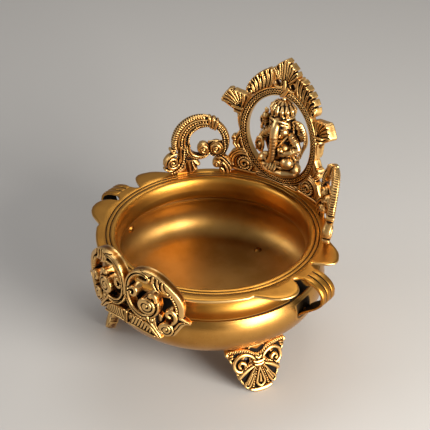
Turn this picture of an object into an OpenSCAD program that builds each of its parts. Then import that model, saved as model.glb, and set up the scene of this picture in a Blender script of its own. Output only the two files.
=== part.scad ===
// Footed brass urli: a low round flower bowl with a lobed rim, strap handles, cast scrollwork
// round the rim and a seated elephant-headed figure in an oval frame at the back.
// The origin is on the floor under the centre of the bowl. +Z is up, +Y is towards the figure.
// Bearings are degrees from +Y towards +X. Every wall ornament is an outline of (sideways, height)
// points cut through a curved wall.

/* [Bowl] */
// Height of the flat top of the rim above the floor
rim_z = 110; // [106:1:116]
// Largest radius of the belly
belly_r = 101; // [99:0.5:102]
// Height of the widest part of the belly
belly_z = 67.5; // [66:0.5:69]
// Radius of the belly's curve in section
belly_curve = 28; // [26:1:30]
// Thickness of the cast wall
wall = 3.5; // [2.5:0.5:4]
// Height of the underside of the bowl
base_z = 36; // [34:1:38]
// Inner radius of the neck at its narrowest
neck_r = 83; // [82:0.5:84]

/* [Rim] */
// Thickness of the flat rim
rim_t = 3; // [2.5:0.5:4]
// Radius where the rounded lip meets the flat rim
lip_r = 89; // [88:0.5:90]
// Outer radius of the plain part of the rim
rim_r = 103.5; // [102:0.5:105]
// Radius of the outer engraved ring
groove_r = 95; // [94:0.5:96]
// Distance between the two engraved rings
groove_gap = 3.5; // [3:0.5:4]
// Width of an engraved ring
groove_w = 0.9; // [0.6:0.1:1.2]

/* [Handles] */
// Width of a handle strap
strap_w = 18; // [16:1:20]
// Thickness of a handle strap
strap_t = 3; // [2.5:0.5:3.5]
// Distance from the bowl axis to the outside of a handle
handle_reach = 126; // [124:1:130]

/* [Feet] */
// Bearing of the back foot
feet_turn = -4; // [-8:1:8]
// Distance from the bowl axis to the toe of a foot
toe_r = 99.5; // [97:0.5:101]
// Height of a foot's corners
foot_h = 41; // [39:0.5:42]
// Width across a foot's corners
foot_w = 62; // [58:1:64]
// Thickness of a foot plate
foot_t = 8; // [7:0.5:10]

/* [Back frame] */
// Distance from the bowl axis to the front of the frame at the rim
frame_y = 97; // [96:0.5:98]
// Radius of the frame's curve in plan
frame_curve = 150; // [140:5:180]
// Thickness of the frame and its crest
frame_t = 7; // [6:0.5:8]
// Backward lean of the frame
frame_lean = 4; // [3:0.5:5]
// Half width of the oval ring
oval_w = 44; // [42:0.5:46]
// Half height of the oval ring
oval_h = 48.5; // [47:0.5:50]
// Width of the oval ring's band
oval_band = 8; // [7:0.5:9]
// Height of the top of the crest above the floor
crest_z = 236; // [232:1:240]

/* [Rim ornaments] */
// Bearing of the middle of the left side scroll
side_left = 44.5; // [44:0.5:48]
// Bearing of the middle of the right side scroll
side_right = 49; // [45:0.5:50]
// Radius of the left side scroll's inner face
side_left_r = 95.5; // [95:0.5:97]
// Radius of the right side scroll's inner face
side_right_r = 98; // [95:0.5:98]
// Outward lean of the right side scroll
side_right_lean = 6; // [0:1:8]
// Thickness of a side scroll
side_t = 6.5; // [6:0.5:7]
// Bearing of the middle of a front scroll, from the front
front_bearing = 15.5; // [15:0.5:16]
// Radius of a front scroll's outer face
front_r = 113.5; // [113:0.5:114]
// Thickness of a front scroll
front_t = 9; // [8:0.5:9]

// Bearing of the middle of the pair of front scrolls
front_middle = 182.8; // [180:0.1:184]

/* [Hidden] */
$fn = 96;

// Colours
gold = "#c8963c";
polished = "#dcae58";
dark_gold = "#a87426";

// Fits and fixings
gap = 0.05;            // room round a pin or screw in its hole
pin_r = 1.2;           // locating pins of the crest and front scrolls
screw_r = 1.5;         // screws up through the rim
screw_head_r = 2.8;
screw_head_h = 2;
rivet_r = 2;           // rivets of the handles and feet
rivet_head_r = 4;
rivet_head_h = 1.8;

// Bowl section
belly_c = [belly_r - belly_curve, belly_z];
belly_low = -75;       // angles of the belly's curve, from level
belly_top = 33;
seam = belly_c + belly_curve * [cos(belly_top), sin(belly_top)];
spigot_h = 2.5;        // the neck's spigot inside the bowl's mouth
spigot_t = wall / 2;
neck_curve = 12;       // radius of the neck's hollow curve
neck_c = [neck_r + wall + neck_curve, seam[1] + 13];
far = 300;             // longer than any part of the bowl

// Oval ring
oval_c = [0, rim_z + oval_h + 0.5];
oval_sides = 72;

// Foot
foot_lean = atan((toe_r - 90) / foot_h);
foot_wall = 2 * rivet_head_r;
sole = 4;              // half width of the flat that a foot stands on

function polar(r, bearing) = [r * sin(bearing), r * cos(bearing)];

function arc(c, r, a, b, n) = [for (i = [0:n]) let (t = a + (b - a) * i / n) c + r * [cos(t), sin(t)]];

function curve(p, q, r, s, n) = [for (i = [0:n]) let (t = i / n, u = 1 - t)
    u * u * u * p + 3 * u * u * t * q + 3 * u * t * t * r + t * t * t * s];

function reversed(v) = [for (i = [len(v) - 1:-1:0]) v[i]];

function flipped(v) = [for (i = [len(v) - 1:-1:0]) [-v[i][0], v[i][1]]];

function oval(grow, n) = [for (i = [0:n - 1]) let (a = 360 * i / n)
    oval_c + [(oval_w + grow) * cos(a), (oval_h + grow) * sin(a)]];

// A spiral band: its middle line winds from radius r0 to r1 as it turns from angle a to b.
function winding(c, r0, r1, a, b, n, side) = [for (i = [0:n]) let (t = i / n, r = r0 + (r1 - r0) * t)
    c + (r + side) * [cos(a + (b - a) * t), sin(a + (b - a) * t)]];

module spiral(c, r0, r1, a, b, w, n = 20) {
    polygon(concat(winding(c, r0, r1, a, b, n, w / 2), reversed(winding(c, r0, r1, a, b, n, -w / 2))));
}

module band(c, r, w, a, b, n = 20) {
    spiral(c, r, r, a, b, w, n);
}

module dot(c, r) {
    translate(c) circle(r);
}

// An outline of (sideways, height) points, as a slab across the bearing `turn`.
module slab(turn, depth = far) {
    rotate([0, 0, -turn]) translate([0, depth, 0]) rotate([90, 0, 0]) linear_extrude(depth) children();
}

// The outline cut through a round wall of inner radius r and thickness t, leaning out from the rim.
module on_wall(turn, r, t, lean = 0) {
    rotate([0, 0, -turn]) translate([0, r, rim_z]) rotate([-lean, 0, 0]) translate([0, -r, -rim_z])
    intersection() {
        difference() {
            cylinder(h = far, r = r + t);
            translate([0, 0, -1]) cylinder(h = far + 2, r = r);
        }
        slab(0) children();
    }
}

// The outline cut through the frame's curved, leaning wall. `grow` moves its front, `deep` its back.
module on_frame(grow = 0, deep = 0) {
    translate([0, frame_y, rim_z]) rotate([-frame_lean, 0, 0]) translate([0, -frame_y, -rim_z])
    intersection() {
        translate([0, frame_y - frame_curve, rim_z - 10]) difference() {
            cylinder(h = far, r = frame_curve + frame_t + deep, $fn = 180);
            translate([0, 0, -1]) cylinder(h = far + 2, r = frame_curve - grow, $fn = 180);
        }
        slab(0) children();
    }
}

// Everything below the flat top of the rim, to trim what stands on it.
module below_rim() {
    translate([-far / 2, -far / 2, rim_z - far]) cube(far);
}

// Outside of the bowl, solid, to trim what bears on it.
module bowl_outside() {
    rotate_extrude() polygon(concat([[0, belly_z], [0, base_z]],
        curve([20, base_z], [50, base_z], [64, base_z], arc(belly_c, belly_curve, belly_low, 0, 1)[0], 6),
        arc(belly_c, belly_curve, belly_low, 0, 12)));
}

module bowl_shell() {
    inner = belly_curve - wall;
    low = belly_c + inner * [cos(belly_low), sin(belly_low)];
    color(polished) difference() {
        rotate_extrude() polygon(concat(
            [[0, base_z]],
            curve([20, base_z], [50, base_z], [64, base_z], belly_c + belly_curve * [cos(belly_low),
                sin(belly_low)], 6),
            arc(belly_c, belly_curve, belly_low, belly_top, 22),
            [seam - [spigot_t, 0], seam - [spigot_t, spigot_h]],
            reversed(arc(belly_c, inner, belly_low, belly_top - 6, 18)),
            reversed(curve([20, base_z + wall], [50, base_z + wall], [64, base_z + wall], low, 6)),
            [[0, base_z + wall]]));
        handle_rivet_holes();
        foot_rivet_holes();
    }
}

// Outline of the right half of the flat rim, from the back to the front.
function rim_half() = concat(
    [for (b = [0:5:55]) polar(rim_r, b)],
    curve(polar(rim_r, 59), polar(rim_r + 1, 63), polar(rim_r + 9, 65), polar(rim_r + 12, 70), 6),
    curve(polar(rim_r + 13.5, 73), polar(rim_r + 15, 77), polar(rim_r + 11, 79), polar(99, 81.5), 6),
    curve([97, 13], [100, 9.5], [103, strap_w / 2], [106.5, strap_w / 2], 4),
    curve([106.5, -strap_w / 2], [103, -strap_w / 2], [101, -11], [98.5, -14.5], 4),
    curve(polar(101, 99.5), polar(rim_r + 13, 99.5), polar(rim_r + 17, 106), polar(rim_r + 11.5, 112), 8),
    curve(polar(rim_r + 9, 114.5), polar(rim_r + 5, 118), polar(rim_r + 1, 120), polar(rim_r - 1, 122.5), 5),
    [for (b = [125:5:180]) polar(rim_r + 0.5, b)]);

module rim_and_neck() {
    color(gold) difference() {
        union() {
            translate([0, 0, rim_z - rim_t]) linear_extrude(rim_t) difference() {
                polygon(concat(rim_half(), flipped(rim_half())));
                circle(lip_r + 0.5);
            }
            rotate_extrude() polygon(concat(
                [seam, seam - [spigot_t - gap, 0], seam - [spigot_t - gap, spigot_h - gap],
                    seam - [wall - 0.6, spigot_h - gap]],
                curve(seam - [wall, 0], [89, 86.5], [neck_r, 88], [neck_r, 94], 5),
                curve([neck_r, 98], [84, 103], [85, rim_z], [lip_r, rim_z], 6),
                [[lip_r + 1.5, rim_z], [lip_r + 3, rim_z - rim_t]],
                arc(neck_c, neck_curve, 142, 250, 12)));
        }
        for (r = [groove_r, groove_r - groove_gap]) rotate_extrude()
            translate([r, rim_z]) square([groove_w, 1.2], center = true);
        frame_screw_holes();
        side_screw_holes();
        front_pin_holes();
        figure_screw_hole();
    }
}

// Outside line of a handle from the rim down to the belly, and the same line one strap inside it.
function strap_line(t) = concat(
    curve([106.6, rim_z - t], [114 - t / 2, rim_z - t], [handle_reach - t, rim_z - 4 - t],
        [handle_reach - t, 96], 10),
    curve([handle_reach - t, 92 - t / 4], [handle_reach - 3 - t, 82], [110 - t / 2, 76 + t],
        [101.5, 66.5 + t * 1.2], 9));

module handle_right() {
    color(gold) difference() {
        rotate([90, 0, 0]) translate([0, 0, -strap_w / 2]) linear_extrude(strap_w)
            polygon(concat(strap_line(0), reversed(strap_line(strap_t))));
        for (side = [-1, 1]) rotate([90, 0, 0])
            translate([0, 0, side * strap_w / 6 - 0.8]) linear_extrude(1.6)
            difference() {
                translate([109, 60]) square([30, 60]);
                polygon(concat([[90, 108.8]], strap_line(1.2), [[90, 68]]));
            }
        translate([0, 0, -0.02]) rotate_extrude() polygon([[0, 0], [belly_r, 0], [belly_r, 110], [0, 110]]);
        handle_rivet_holes();
    }
}

module handle_left() {
    mirror([1, 0, 0]) handle_right();
}

// Where a handle's lower end is riveted to the belly
handle_rivet_z = 69.2;

module handle_rivet_holes() {
    for (side = [-1, 1]) translate([side * (belly_r - wall - 2), 0, handle_rivet_z])
        rotate([0, side * 90, 0]) cylinder(h = 12, r = rivet_r + gap, $fn = 32);
}

module handle_rivets() {
    color(dark_gold) for (side = [-1, 1]) translate([side * (belly_r - wall - 0.02), 0, handle_rivet_z])
        rotate([0, side * 90, 0]) {
            cylinder(h = wall + 3, r = rivet_r, $fn = 32);
            translate([0, 0, -rivet_head_h])
                cylinder(h = rivet_head_h, r1 = rivet_r, r2 = rivet_head_r, $fn = 32);
        }
}

foot_bearings = [feet_turn, feet_turn + 120, feet_turn + 240];

// Outline of a foot: two scroll corners above a fan that narrows to a rounded toe.
module foot_outline() {
    half = foot_w / 2;
    side = concat(
        [[0, 0]],
        curve([sole, 0], [7, 0], [11, 1.5], [13, 5], 4),
        curve([14.5, 8], [18, 12], [20, 16], [21, 20], 3),
        curve([22, 23], [24, 28], [26, 31], [28, 34], 3),
        [[half, foot_h - 1.5]],
        curve([half - 3, foot_h + 0.5], [16, foot_h + 1.5], [6, foot_h - 1], [0, foot_h - 4.5], 6));
    difference() {
        polygon(concat(side, [for (i = [len(side) - 2:-1:1]) [-side[i][0], side[i][1]]]));
        for (s = [-1, 1]) dot([s * 12, 32.5], 3.4);
    }
}

// The leaning round wall that a foot is cut from, and the block behind it that bears on the bowl.
module foot(bearing) {
    top = foot_h + 3;
    run = tan(foot_lean) * top;
    color(gold) difference() {
        union() {
            intersection() {
                rotate_extrude() polygon([[toe_r - foot_t, 0], [toe_r, 0], [toe_r - run, top],
                    [toe_r - run - foot_t, top]]);
                slab(bearing) foot_outline();
            }
            intersection() {
                rotate_extrude() polygon([[70, 30], [toe_r - foot_t - 5, 20], [toe_r - foot_t - 3, 30],
                    [toe_r - foot_t - 8, 60], [70, 60]]);
                slab(bearing) translate([-foot_wall, 0]) square([2 * foot_wall, 60]);
            }
        }
        bowl_outside();
        foot_rivet_holes();
    }
}

module foot_back() { foot(foot_bearings[0]); }
module foot_front_right() { foot(foot_bearings[1]); }
module foot_front_left() { foot(foot_bearings[2]); }

// Rivets down through the floor of the bowl into the feet
foot_rivet_at = 76.5;
foot_rivet_z = base_z + wall + 3.5;

module foot_rivet_holes() {
    for (b = foot_bearings) translate(concat(polar(foot_rivet_at, b), [foot_rivet_z - 11]))
        cylinder(h = 16, r = rivet_r + gap, $fn = 32);
}

module foot_rivets() {
    color(dark_gold) for (b = foot_bearings) translate(concat(polar(foot_rivet_at, b), [foot_rivet_z])) {
        translate([0, 0, -10]) cylinder(h = 10, r = rivet_r, $fn = 32);
        cylinder(h = rivet_head_h, r1 = rivet_head_r, r2 = rivet_r, $fn = 32);
    }
}

module figure_frame() {
    color(gold) difference() {
        on_frame() difference() {
            union() {
                polygon(oval(0, oval_sides));
                translate([-24, rim_z - 3]) square([48, 9]);
            }
            polygon(oval(-oval_band, oval_sides));
        }
        below_rim();
        frame_screw_holes();
        crest_pin_holes();
        figure_screw_hole();
    }
}

// The central fan of the crest
module crest_finial() {
    foot_z = oval_c[1] + oval_h;
    half = concat([[5, foot_z - 6]],
        curve([13, foot_z - 1], [16, foot_z + 8], [13, foot_z + 16], [8, foot_z + 20], 5),
        [[5, crest_z - 5], [2, crest_z]]);
    color(gold) difference() {
        on_frame(0.4, 0.4) difference() {
            polygon(concat(half, flipped(half)));
            polygon(oval(gap, oval_sides));
            for (s = [-1, 1]) dot([s * 7, foot_z + 3.5], 2.6);
        }
        crest_pin_holes();
    }
}

// A leaf of the crest, from beside the finial out to its curled end
module crest_leaf(side) {
    top = oval_c[1] + oval_h;
    outline = concat([[14.5, top - 6], [15.5, top + 6], [14, top + 14]],
        curve([19, top + 13], [29, top + 10], [39, top], [41.5, top - 11], 8),
        curve([41, top - 16], [37, top - 19], [33, top - 15], [32.5, top - 12], 5));
    color(gold) difference() {
        on_frame(0.2, 0.2) difference() {
            mirror([side < 0 ? 1 : 0, 0]) polygon(outline);
            polygon(oval(gap, oval_sides));
        }
        crest_pin_holes();
    }
}

module crest_leaf_left() { crest_leaf(-1); }
module crest_leaf_right() { crest_leaf(1); }

// A fluted fan on a banded stalk, beside the oval ring
module frame_fan(side) {
    mid = oval_c[1];
    outline = concat([[36, mid - 14], [45, mid - 10], [50, mid + 2], [52, mid + 10]],
        curve([57, mid + 11], [64, mid + 15], [65.5, mid + 21], [62, mid + 26], 5),
        curve([56, mid + 31], [50, mid + 33], [44, mid + 31], [38, mid + 26], 5));
    color(gold) difference() {
        on_frame() difference() {
            mirror([side < 0 ? 1 : 0, 0]) polygon(outline);
            polygon(oval(gap, oval_sides));
        }
        crest_pin_holes();
    }
}

module frame_fan_left() { frame_fan(-1); }
module frame_fan_right() { frame_fan(1); }

// The volute and arched band at the foot of the oval ring
module frame_volute(side) {
    color(gold) difference() {
        on_frame() difference() {
            mirror([side < 0 ? 1 : 0, 0]) difference() {
                union() {
                    dot([39, rim_z + 10], 9.5);
                    band([42, rim_z + 8], 14, 8, 0, 170);
                    translate([30, rim_z - 3]) square([26, 9]);
                    polygon([[42, rim_z + 20], [50, rim_z + 22], [53, rim_z + 34], [47, rim_z + 44],
                        [44, rim_z + 36]]);
                }
                dot([47, rim_z + 9.5], 2.6);
            }
            polygon(oval(gap, oval_sides));
            translate([-24 - gap, rim_z - 4]) square([48 + 2 * gap, 11]);
        }
        below_rim();
        frame_screw_holes();
        crest_pin_holes();
    }
}

module frame_volute_left() { frame_volute(-1); }
module frame_volute_right() { frame_volute(1); }

// Locating pins between the oval ring and the pieces round it, as oval angles
pin_angles = [90, 62, 118, 8, 172, -52, -128];

module on_pin(angle) {
    translate([0, frame_y, rim_z]) rotate([-frame_lean, 0, 0]) translate([0, -frame_y, -rim_z])
        translate([oval_w * cos(angle), frame_y - frame_curve
            + sqrt(pow(frame_curve + frame_t / 2, 2) - pow(oval_w * cos(angle), 2)),
            oval_c[1] + oval_h * sin(angle)])
        rotate([0, 90 - angle, 0]) children();
}

module crest_pin_holes() {
    for (a = pin_angles) on_pin(a) cylinder(h = 7, r = pin_r + gap, center = true, $fn = 24);
}

module crest_pins() {
    color(dark_gold) for (a = pin_angles) on_pin(a) cylinder(h = 6, r = pin_r, center = true, $fn = 24);
}

// Screws up through the rim: position, then how far the shank stands above the rim
frame_screw_x = [-46, -16, 16, 46];
frame_screw_rise = 5;

function frame_screw_at(x) = [x, frame_y - frame_curve + sqrt(pow(frame_curve + frame_t / 2, 2) - x * x)];

module screw(at, rise) {
    translate(concat(at, [rim_z - rim_t])) {
        cylinder(h = rim_t + rise, r = screw_r, $fn = 32);
        difference() {
            translate([0, 0, -screw_head_h]) cylinder(h = screw_head_h, r = screw_head_r, $fn = 32);
            translate([-screw_head_r, -0.4, -screw_head_h - 1]) cube([2 * screw_head_r, 0.8, 2]);
        }
    }
}

module screw_hole(at, rise) {
    translate(concat(at, [rim_z - rim_t - 1])) cylinder(h = rim_t + rise + 1.5, r = screw_r + gap, $fn = 32);
}

module frame_screw_holes() {
    for (x = frame_screw_x) screw_hole(frame_screw_at(x), frame_screw_rise);
}

module frame_screws() {
    color(dark_gold) for (x = frame_screw_x) screw(frame_screw_at(x), frame_screw_rise);
}

// Middle, inner radius and lean of the left and right side scrolls
side_middle = [-side_left, side_right];
side_radius = [side_left_r, side_right_r];
side_lean = [0, side_right_lean];
side_screw_turns = [-9, 11];
side_screw_rise = 5;

function side_screw_at(i, turn) = polar(side_radius[i] + side_t / 2, side_middle[i] + turn);

module side_screw_holes() {
    for (i = [0, 1], turn = side_screw_turns) screw_hole(side_screw_at(i, turn), side_screw_rise);
}

module side_scroll_screws() {
    color(dark_gold) for (i = [0, 1], turn = side_screw_turns) screw(side_screw_at(i, turn), side_screw_rise);
}

// A side scroll: an arched ring that winds down to a pearl, on a row of smaller scrolls
module side_scroll_outline() {
    base = rim_z;
    union() {
        band([0, base + 33], 22.5, 9, -20, 215);
        spiral([-2, base + 33], 17, 9, 190, 350, 6);
        dot([-13, base + 26], 4.5);
        band([2, base + 29], 9, 6, 20, 230);
        dot([24, base + 12], 9);
        band([17, base + 14], 12, 7, 150, 330);
        dot([8, base + 9], 8);
        dot([-15, base + 10], 8.5);
        polygon([[4, base - 2], [30, base - 2], [31, base + 5], [20, base + 9], [4, base + 12]]);
        polygon([[-23, base - 2], [-9, base - 2], [-9, base + 6], [-20, base + 12], [-24, base + 5]]);
    }
}

module side_scroll(i) {
    color(gold) difference() {
        on_wall(side_middle[i], side_radius[i], side_t, side_lean[i])
            mirror([1 - i, 0]) side_scroll_outline();
        below_rim();
        on_frame(gap, gap) translate([-70, rim_z - 5]) square([140, 70]);
        side_screw_holes();
    }
}

module side_scroll_left() { side_scroll(0); }
module side_scroll_right() { side_scroll(1); }

// A front scroll: a hooked band that winds into a large spiral, an outer band with a tail, and a curl
module front_scroll_outline() {
    edge = concat(
        curve([-14, -10.5], [-19, -9.5], [-28, -3], [-30, 9], 5),
        curve([-30, 18.5], [-27, 27], [-20, 35], [-9, 36.5], 5),
        curve([-6.8, 38.9], [0.4, 39.4], [7.2, 34], [13.8, 26.3], 5),
        curve([19, 21.5], [22.5, 14], [24, 6], [23, -0.6], 4),
        [[31, -4.9], [25.3, -6]],
        curve([21, -10], [18, -16], [14, -21], [9, -21], 4),
        curve([4, -20.5], [1, -17], [-1, -13], [-6, -11], 3));
    translate([0, rim_z - 14]) difference() {
        polygon(edge);
        polygon([[-4, 24], [4, 21.5], [9, 20], [13, 13], [15.5, 7], [10, 6], [7, 0], [3, -5], [5.5, 3],
            [6, 9], [3, 16], [-3, 19]]);
        polygon([[-14, 23], [-15, 18], [-18.5, 11], [-23, 9], [-21, 2], [-17, -2], [-14, -3.5], [-16, 2],
            [-16.5, 8], [-14, 14], [-9, 18.5], [-9, 23]]);
    }
}

// Clear of the belly and the rim's edge
module front_clear() {
    bowl_outside();
    translate([0, 0, rim_z - rim_t]) cylinder(h = rim_t, r = rim_r + 0.5 + gap);
}

module front_scroll(side) {
    color(gold) difference() {
        on_wall(front_middle - side * front_bearing, front_r - front_t, front_t)
            mirror([side > 0 ? 1 : 0, 0]) front_scroll_outline();
        front_clear();
        front_pin_holes();
    }
}

module front_scroll_left() { front_scroll(-1); }
module front_scroll_right() { front_scroll(1); }

// The ridged leaf that bridges the two front scrolls below
module front_leaf() {
    half = concat(curve([0, -36], [12, -36.5], [24, -40], [34, -39.5], 6),
        [[33, -36], [29, -32], [28.5, -27], [26, -24]], curve([22, -22], [16, -25.5], [8, -25], [0, -25], 5));
    color(gold) difference() {
        on_wall(front_middle, front_r - front_t, front_t) translate([0, rim_z])
            polygon(concat(half, flipped(half)));
        for (side = [-1, 1]) on_wall(front_middle - side * front_bearing, front_r - front_t - 1, front_t + 2)
            mirror([side > 0 ? 1 : 0, 0]) front_scroll_outline();
        front_clear();
    }
}

front_pin_bearings = [front_bearing - 12, front_bearing + 9];

module front_pin_holes() {
    for (side = [-1, 1], b = front_pin_bearings) rotate([0, 0, side * b + 180 - front_middle])
        translate([0, -rim_r - 0.5, rim_z - rim_t / 2]) rotate([90, 0, 0])
            cylinder(h = 8.4, r = 0.9 + gap, center = true, $fn = 24);
}

module front_scroll_pins() {
    color(dark_gold) for (side = [-1, 1], b = front_pin_bearings)
        rotate([0, 0, side * b + 180 - front_middle])
        translate([0, -rim_r - 0.5, rim_z - rim_t / 2]) rotate([90, 0, 0])
            cylinder(h = 8, r = 0.9, center = true, $fn = 24);
}

// The figure's round seat, a saddle over the foot of the oval ring
seat_at = [3, 101];
seat_h = 15;
figure_screw_rise = seat_h + 6;

// Room for the oval ring in what straddles it
module ring_space() {
    on_frame(gap, gap) difference() {
        union() {
            polygon(oval(gap, oval_sides));
            translate([-24 - gap, rim_z - 3]) square([48 + 2 * gap, 9 + gap]);
        }
        polygon(oval(-oval_band - gap, oval_sides));
    }
}

module figure_base() {
    color(gold) difference() {
        translate(concat(seat_at, [rim_z])) rotate_extrude() polygon(concat([[0, 0], [12.5, 0]],
            curve([13, 3], [12.5, 6], [10, 7], [12, 10], 5), [[13, seat_h], [0, seat_h]]));
        ring_space();
        figure_screw_hole();
    }
}

module figure_screw_hole() {
    screw_hole(seat_at, figure_screw_rise);
}

module figure_screw() {
    color(dark_gold) screw(seat_at, figure_screw_rise);
}

// A limb from p to q, with round ends of radius a and b
module limb(p, q, a, b) {
    hull() {
        translate(p) sphere(a, $fn = 16);
        translate(q) sphere(b, $fn = 16);
    }
}

// The seated elephant-headed figure
module seated_figure() {
    color(polished) difference() {
        translate(concat(seat_at, [rim_z + seat_h])) {
            limb([0, 0, 9], [0, 0, 13], 12, 12.5);
            limb([0, 1, 13], [0, 2, 28], 11, 9);
            limb([0, -1, 43], [0, 1, 48], 9.5, 10);
            limb([0, 1, 51], [0, 2, 62], 10, 9);
            for (s = [-1, 1]) {
                limb([s * 9, -2, 5], [s * 16, -5, 6], 5, 5);
                limb([s * 16, -5, 6], [s * 4, -10, 4.4], 4.4, 3.6);
                limb([s * 8, 1, 31], [s * 17, 0, 31], 4.4, 3.8);
                limb([s * 17, 0, 31], [s * 18, -1, 47], 3.6, 3.6);
                limb([s * 10, 0, 28], [s * 15, -5, 16], 3.8, 3.4);
                limb([s * 9, 2, 48], [s * 13, 3, 40], 5, 3.6);
            }
            limb([0, -7, 43], [-1, -11, 30], 4.6, 3.6);
            limb([-1, -11, 30], [4, -12, 22], 3.6, 2.8);
            translate([-11, 2, 20]) cube([22, 5, 30]);
            translate([-9, -4, 0]) cube([18, 9, 6]);
        }
        translate([-far / 2, -far / 2, rim_z + seat_h - far]) cube(far);
        ring_space();
        figure_screw_hole();
    }
}

bowl_shell();
rim_and_neck();
handle_left();
handle_right();
handle_rivets();
foot_back();
foot_front_right();
foot_front_left();
foot_rivets();
figure_frame();
crest_finial();
crest_leaf_left();
crest_leaf_right();
frame_fan_left();
frame_fan_right();
frame_volute_left();
frame_volute_right();
crest_pins();
frame_screws();
figure_base();
seated_figure();
figure_screw();
side_scroll_left();
side_scroll_right();
side_scroll_screws();
front_scroll_left();
front_scroll_right();
front_leaf();
front_scroll_pins();
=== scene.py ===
import itertools
import math

import bmesh
import bpy
import numpy as np
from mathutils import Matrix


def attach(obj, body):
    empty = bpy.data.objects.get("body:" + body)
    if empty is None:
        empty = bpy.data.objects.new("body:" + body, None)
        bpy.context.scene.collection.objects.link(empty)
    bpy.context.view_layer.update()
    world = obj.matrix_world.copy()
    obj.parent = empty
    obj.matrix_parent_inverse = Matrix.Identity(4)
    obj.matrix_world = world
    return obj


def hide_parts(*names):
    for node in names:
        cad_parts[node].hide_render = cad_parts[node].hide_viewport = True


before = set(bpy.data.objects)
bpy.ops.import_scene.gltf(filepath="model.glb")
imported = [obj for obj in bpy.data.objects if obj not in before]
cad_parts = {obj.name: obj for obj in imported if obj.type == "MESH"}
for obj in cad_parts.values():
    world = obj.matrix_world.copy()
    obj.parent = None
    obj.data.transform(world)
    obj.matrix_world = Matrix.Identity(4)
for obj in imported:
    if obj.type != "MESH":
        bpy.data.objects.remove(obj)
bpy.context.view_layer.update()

# Lengths are in millimetres until a mesh is made. Bearings run from +Y towards +X.
MM = 0.001
STEP = 0.42      # grid pitch of the castings
scene = bpy.context.scene

RIM_Z = 110                             # flat top of the rim
RIM_FROM, RIM_R = 97.0, 103.5           # where the rim's lobes start, and its plain outer radius
SEAM = (96.48, 82.75)                   # radius and height where the rim meets the bowl
NECK = (98.5, 95.75)                    # centre of the neck's hollow curve
BELLY, BELLY_R = (73, 67.5), 28         # centre and radius of the belly's curve
HANDLE_R, HANDLE_HALF = 126, 9          # outside and half width of a handle
FRONT, FRONT_R = 182.8, 109             # bearing of the front ornaments, and their middle radius
FRAME_Y, FRAME_CURVE = 97, 150          # the frame wall's front face: its y and its radius
FRAME_MID = 153.5                       # radius of the middle of that wall
FRAME_LEAN = math.radians(4)
OVAL_Z, OVAL_HALF = 49.0, (44, 48.5)    # the oval ring's centre above the rim, and its half axes
FOOT_MID, FOOT_CURVE = 95.5, 94         # radius of a foot's middle at the floor, and of its curve
FOOT_SLOPE = (99.5 - 90) / 41           # how it leans in with height
SEAT = (3, 101, 125)                    # where the figure sits
BLACK = (0.006, 0.004, 0.0025)          # patina in grooves, and painted shade behind and between parts


# ---------------------------------------------------------------- materials
def node(tree, kind, **settings):
    """A node; each setting is one of its properties or inputs."""
    made = tree.nodes.new(kind)
    for key, value in settings.items():
        if key in made.bl_rna.properties:
            setattr(made, key, value)
        else:
            made.inputs[key].default_value = value
    return made


def mixed(tree, factor, a, b):
    """A colour mix; a and b are sockets or colours."""
    made = node(tree, "ShaderNodeMix", data_type="RGBA")
    tree.links.new(factor, made.inputs["Factor"])
    for socket, value in ((made.inputs[6], a), (made.inputs[7], b)):
        if isinstance(value, tuple):
            socket.default_value = (*value, 1)
        else:
            tree.links.new(value, socket)
    return made.outputs[2]


def ranged(tree, value, lo, hi, to_lo=0.0, to_hi=1.0, smooth=True):
    made = node(tree, "ShaderNodeMapRange", interpolation_type="SMOOTHSTEP" if smooth else "LINEAR")
    tree.links.new(value, made.inputs["Value"])
    for key, number in (("From Min", lo), ("From Max", hi), ("To Min", to_lo), ("To Max", to_hi)):
        made.inputs[key].default_value = number
    return made.outputs["Result"]


def maths(tree, kind, a, b):
    made = node(tree, "ShaderNodeMath", operation=kind)
    for socket, value in zip(made.inputs, (a, b)):
        if isinstance(value, (int, float)):
            socket.default_value = value
        else:
            tree.links.new(value, socket)
    return made.outputs[0]


def noise(tree, coords, scale, detail=4.0, rough=0.55):
    made = node(tree, "ShaderNodeTexNoise", Scale=scale, Detail=detail, Roughness=rough)
    tree.links.new(coords, made.inputs["Vector"])
    return made.outputs["Fac"]


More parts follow.
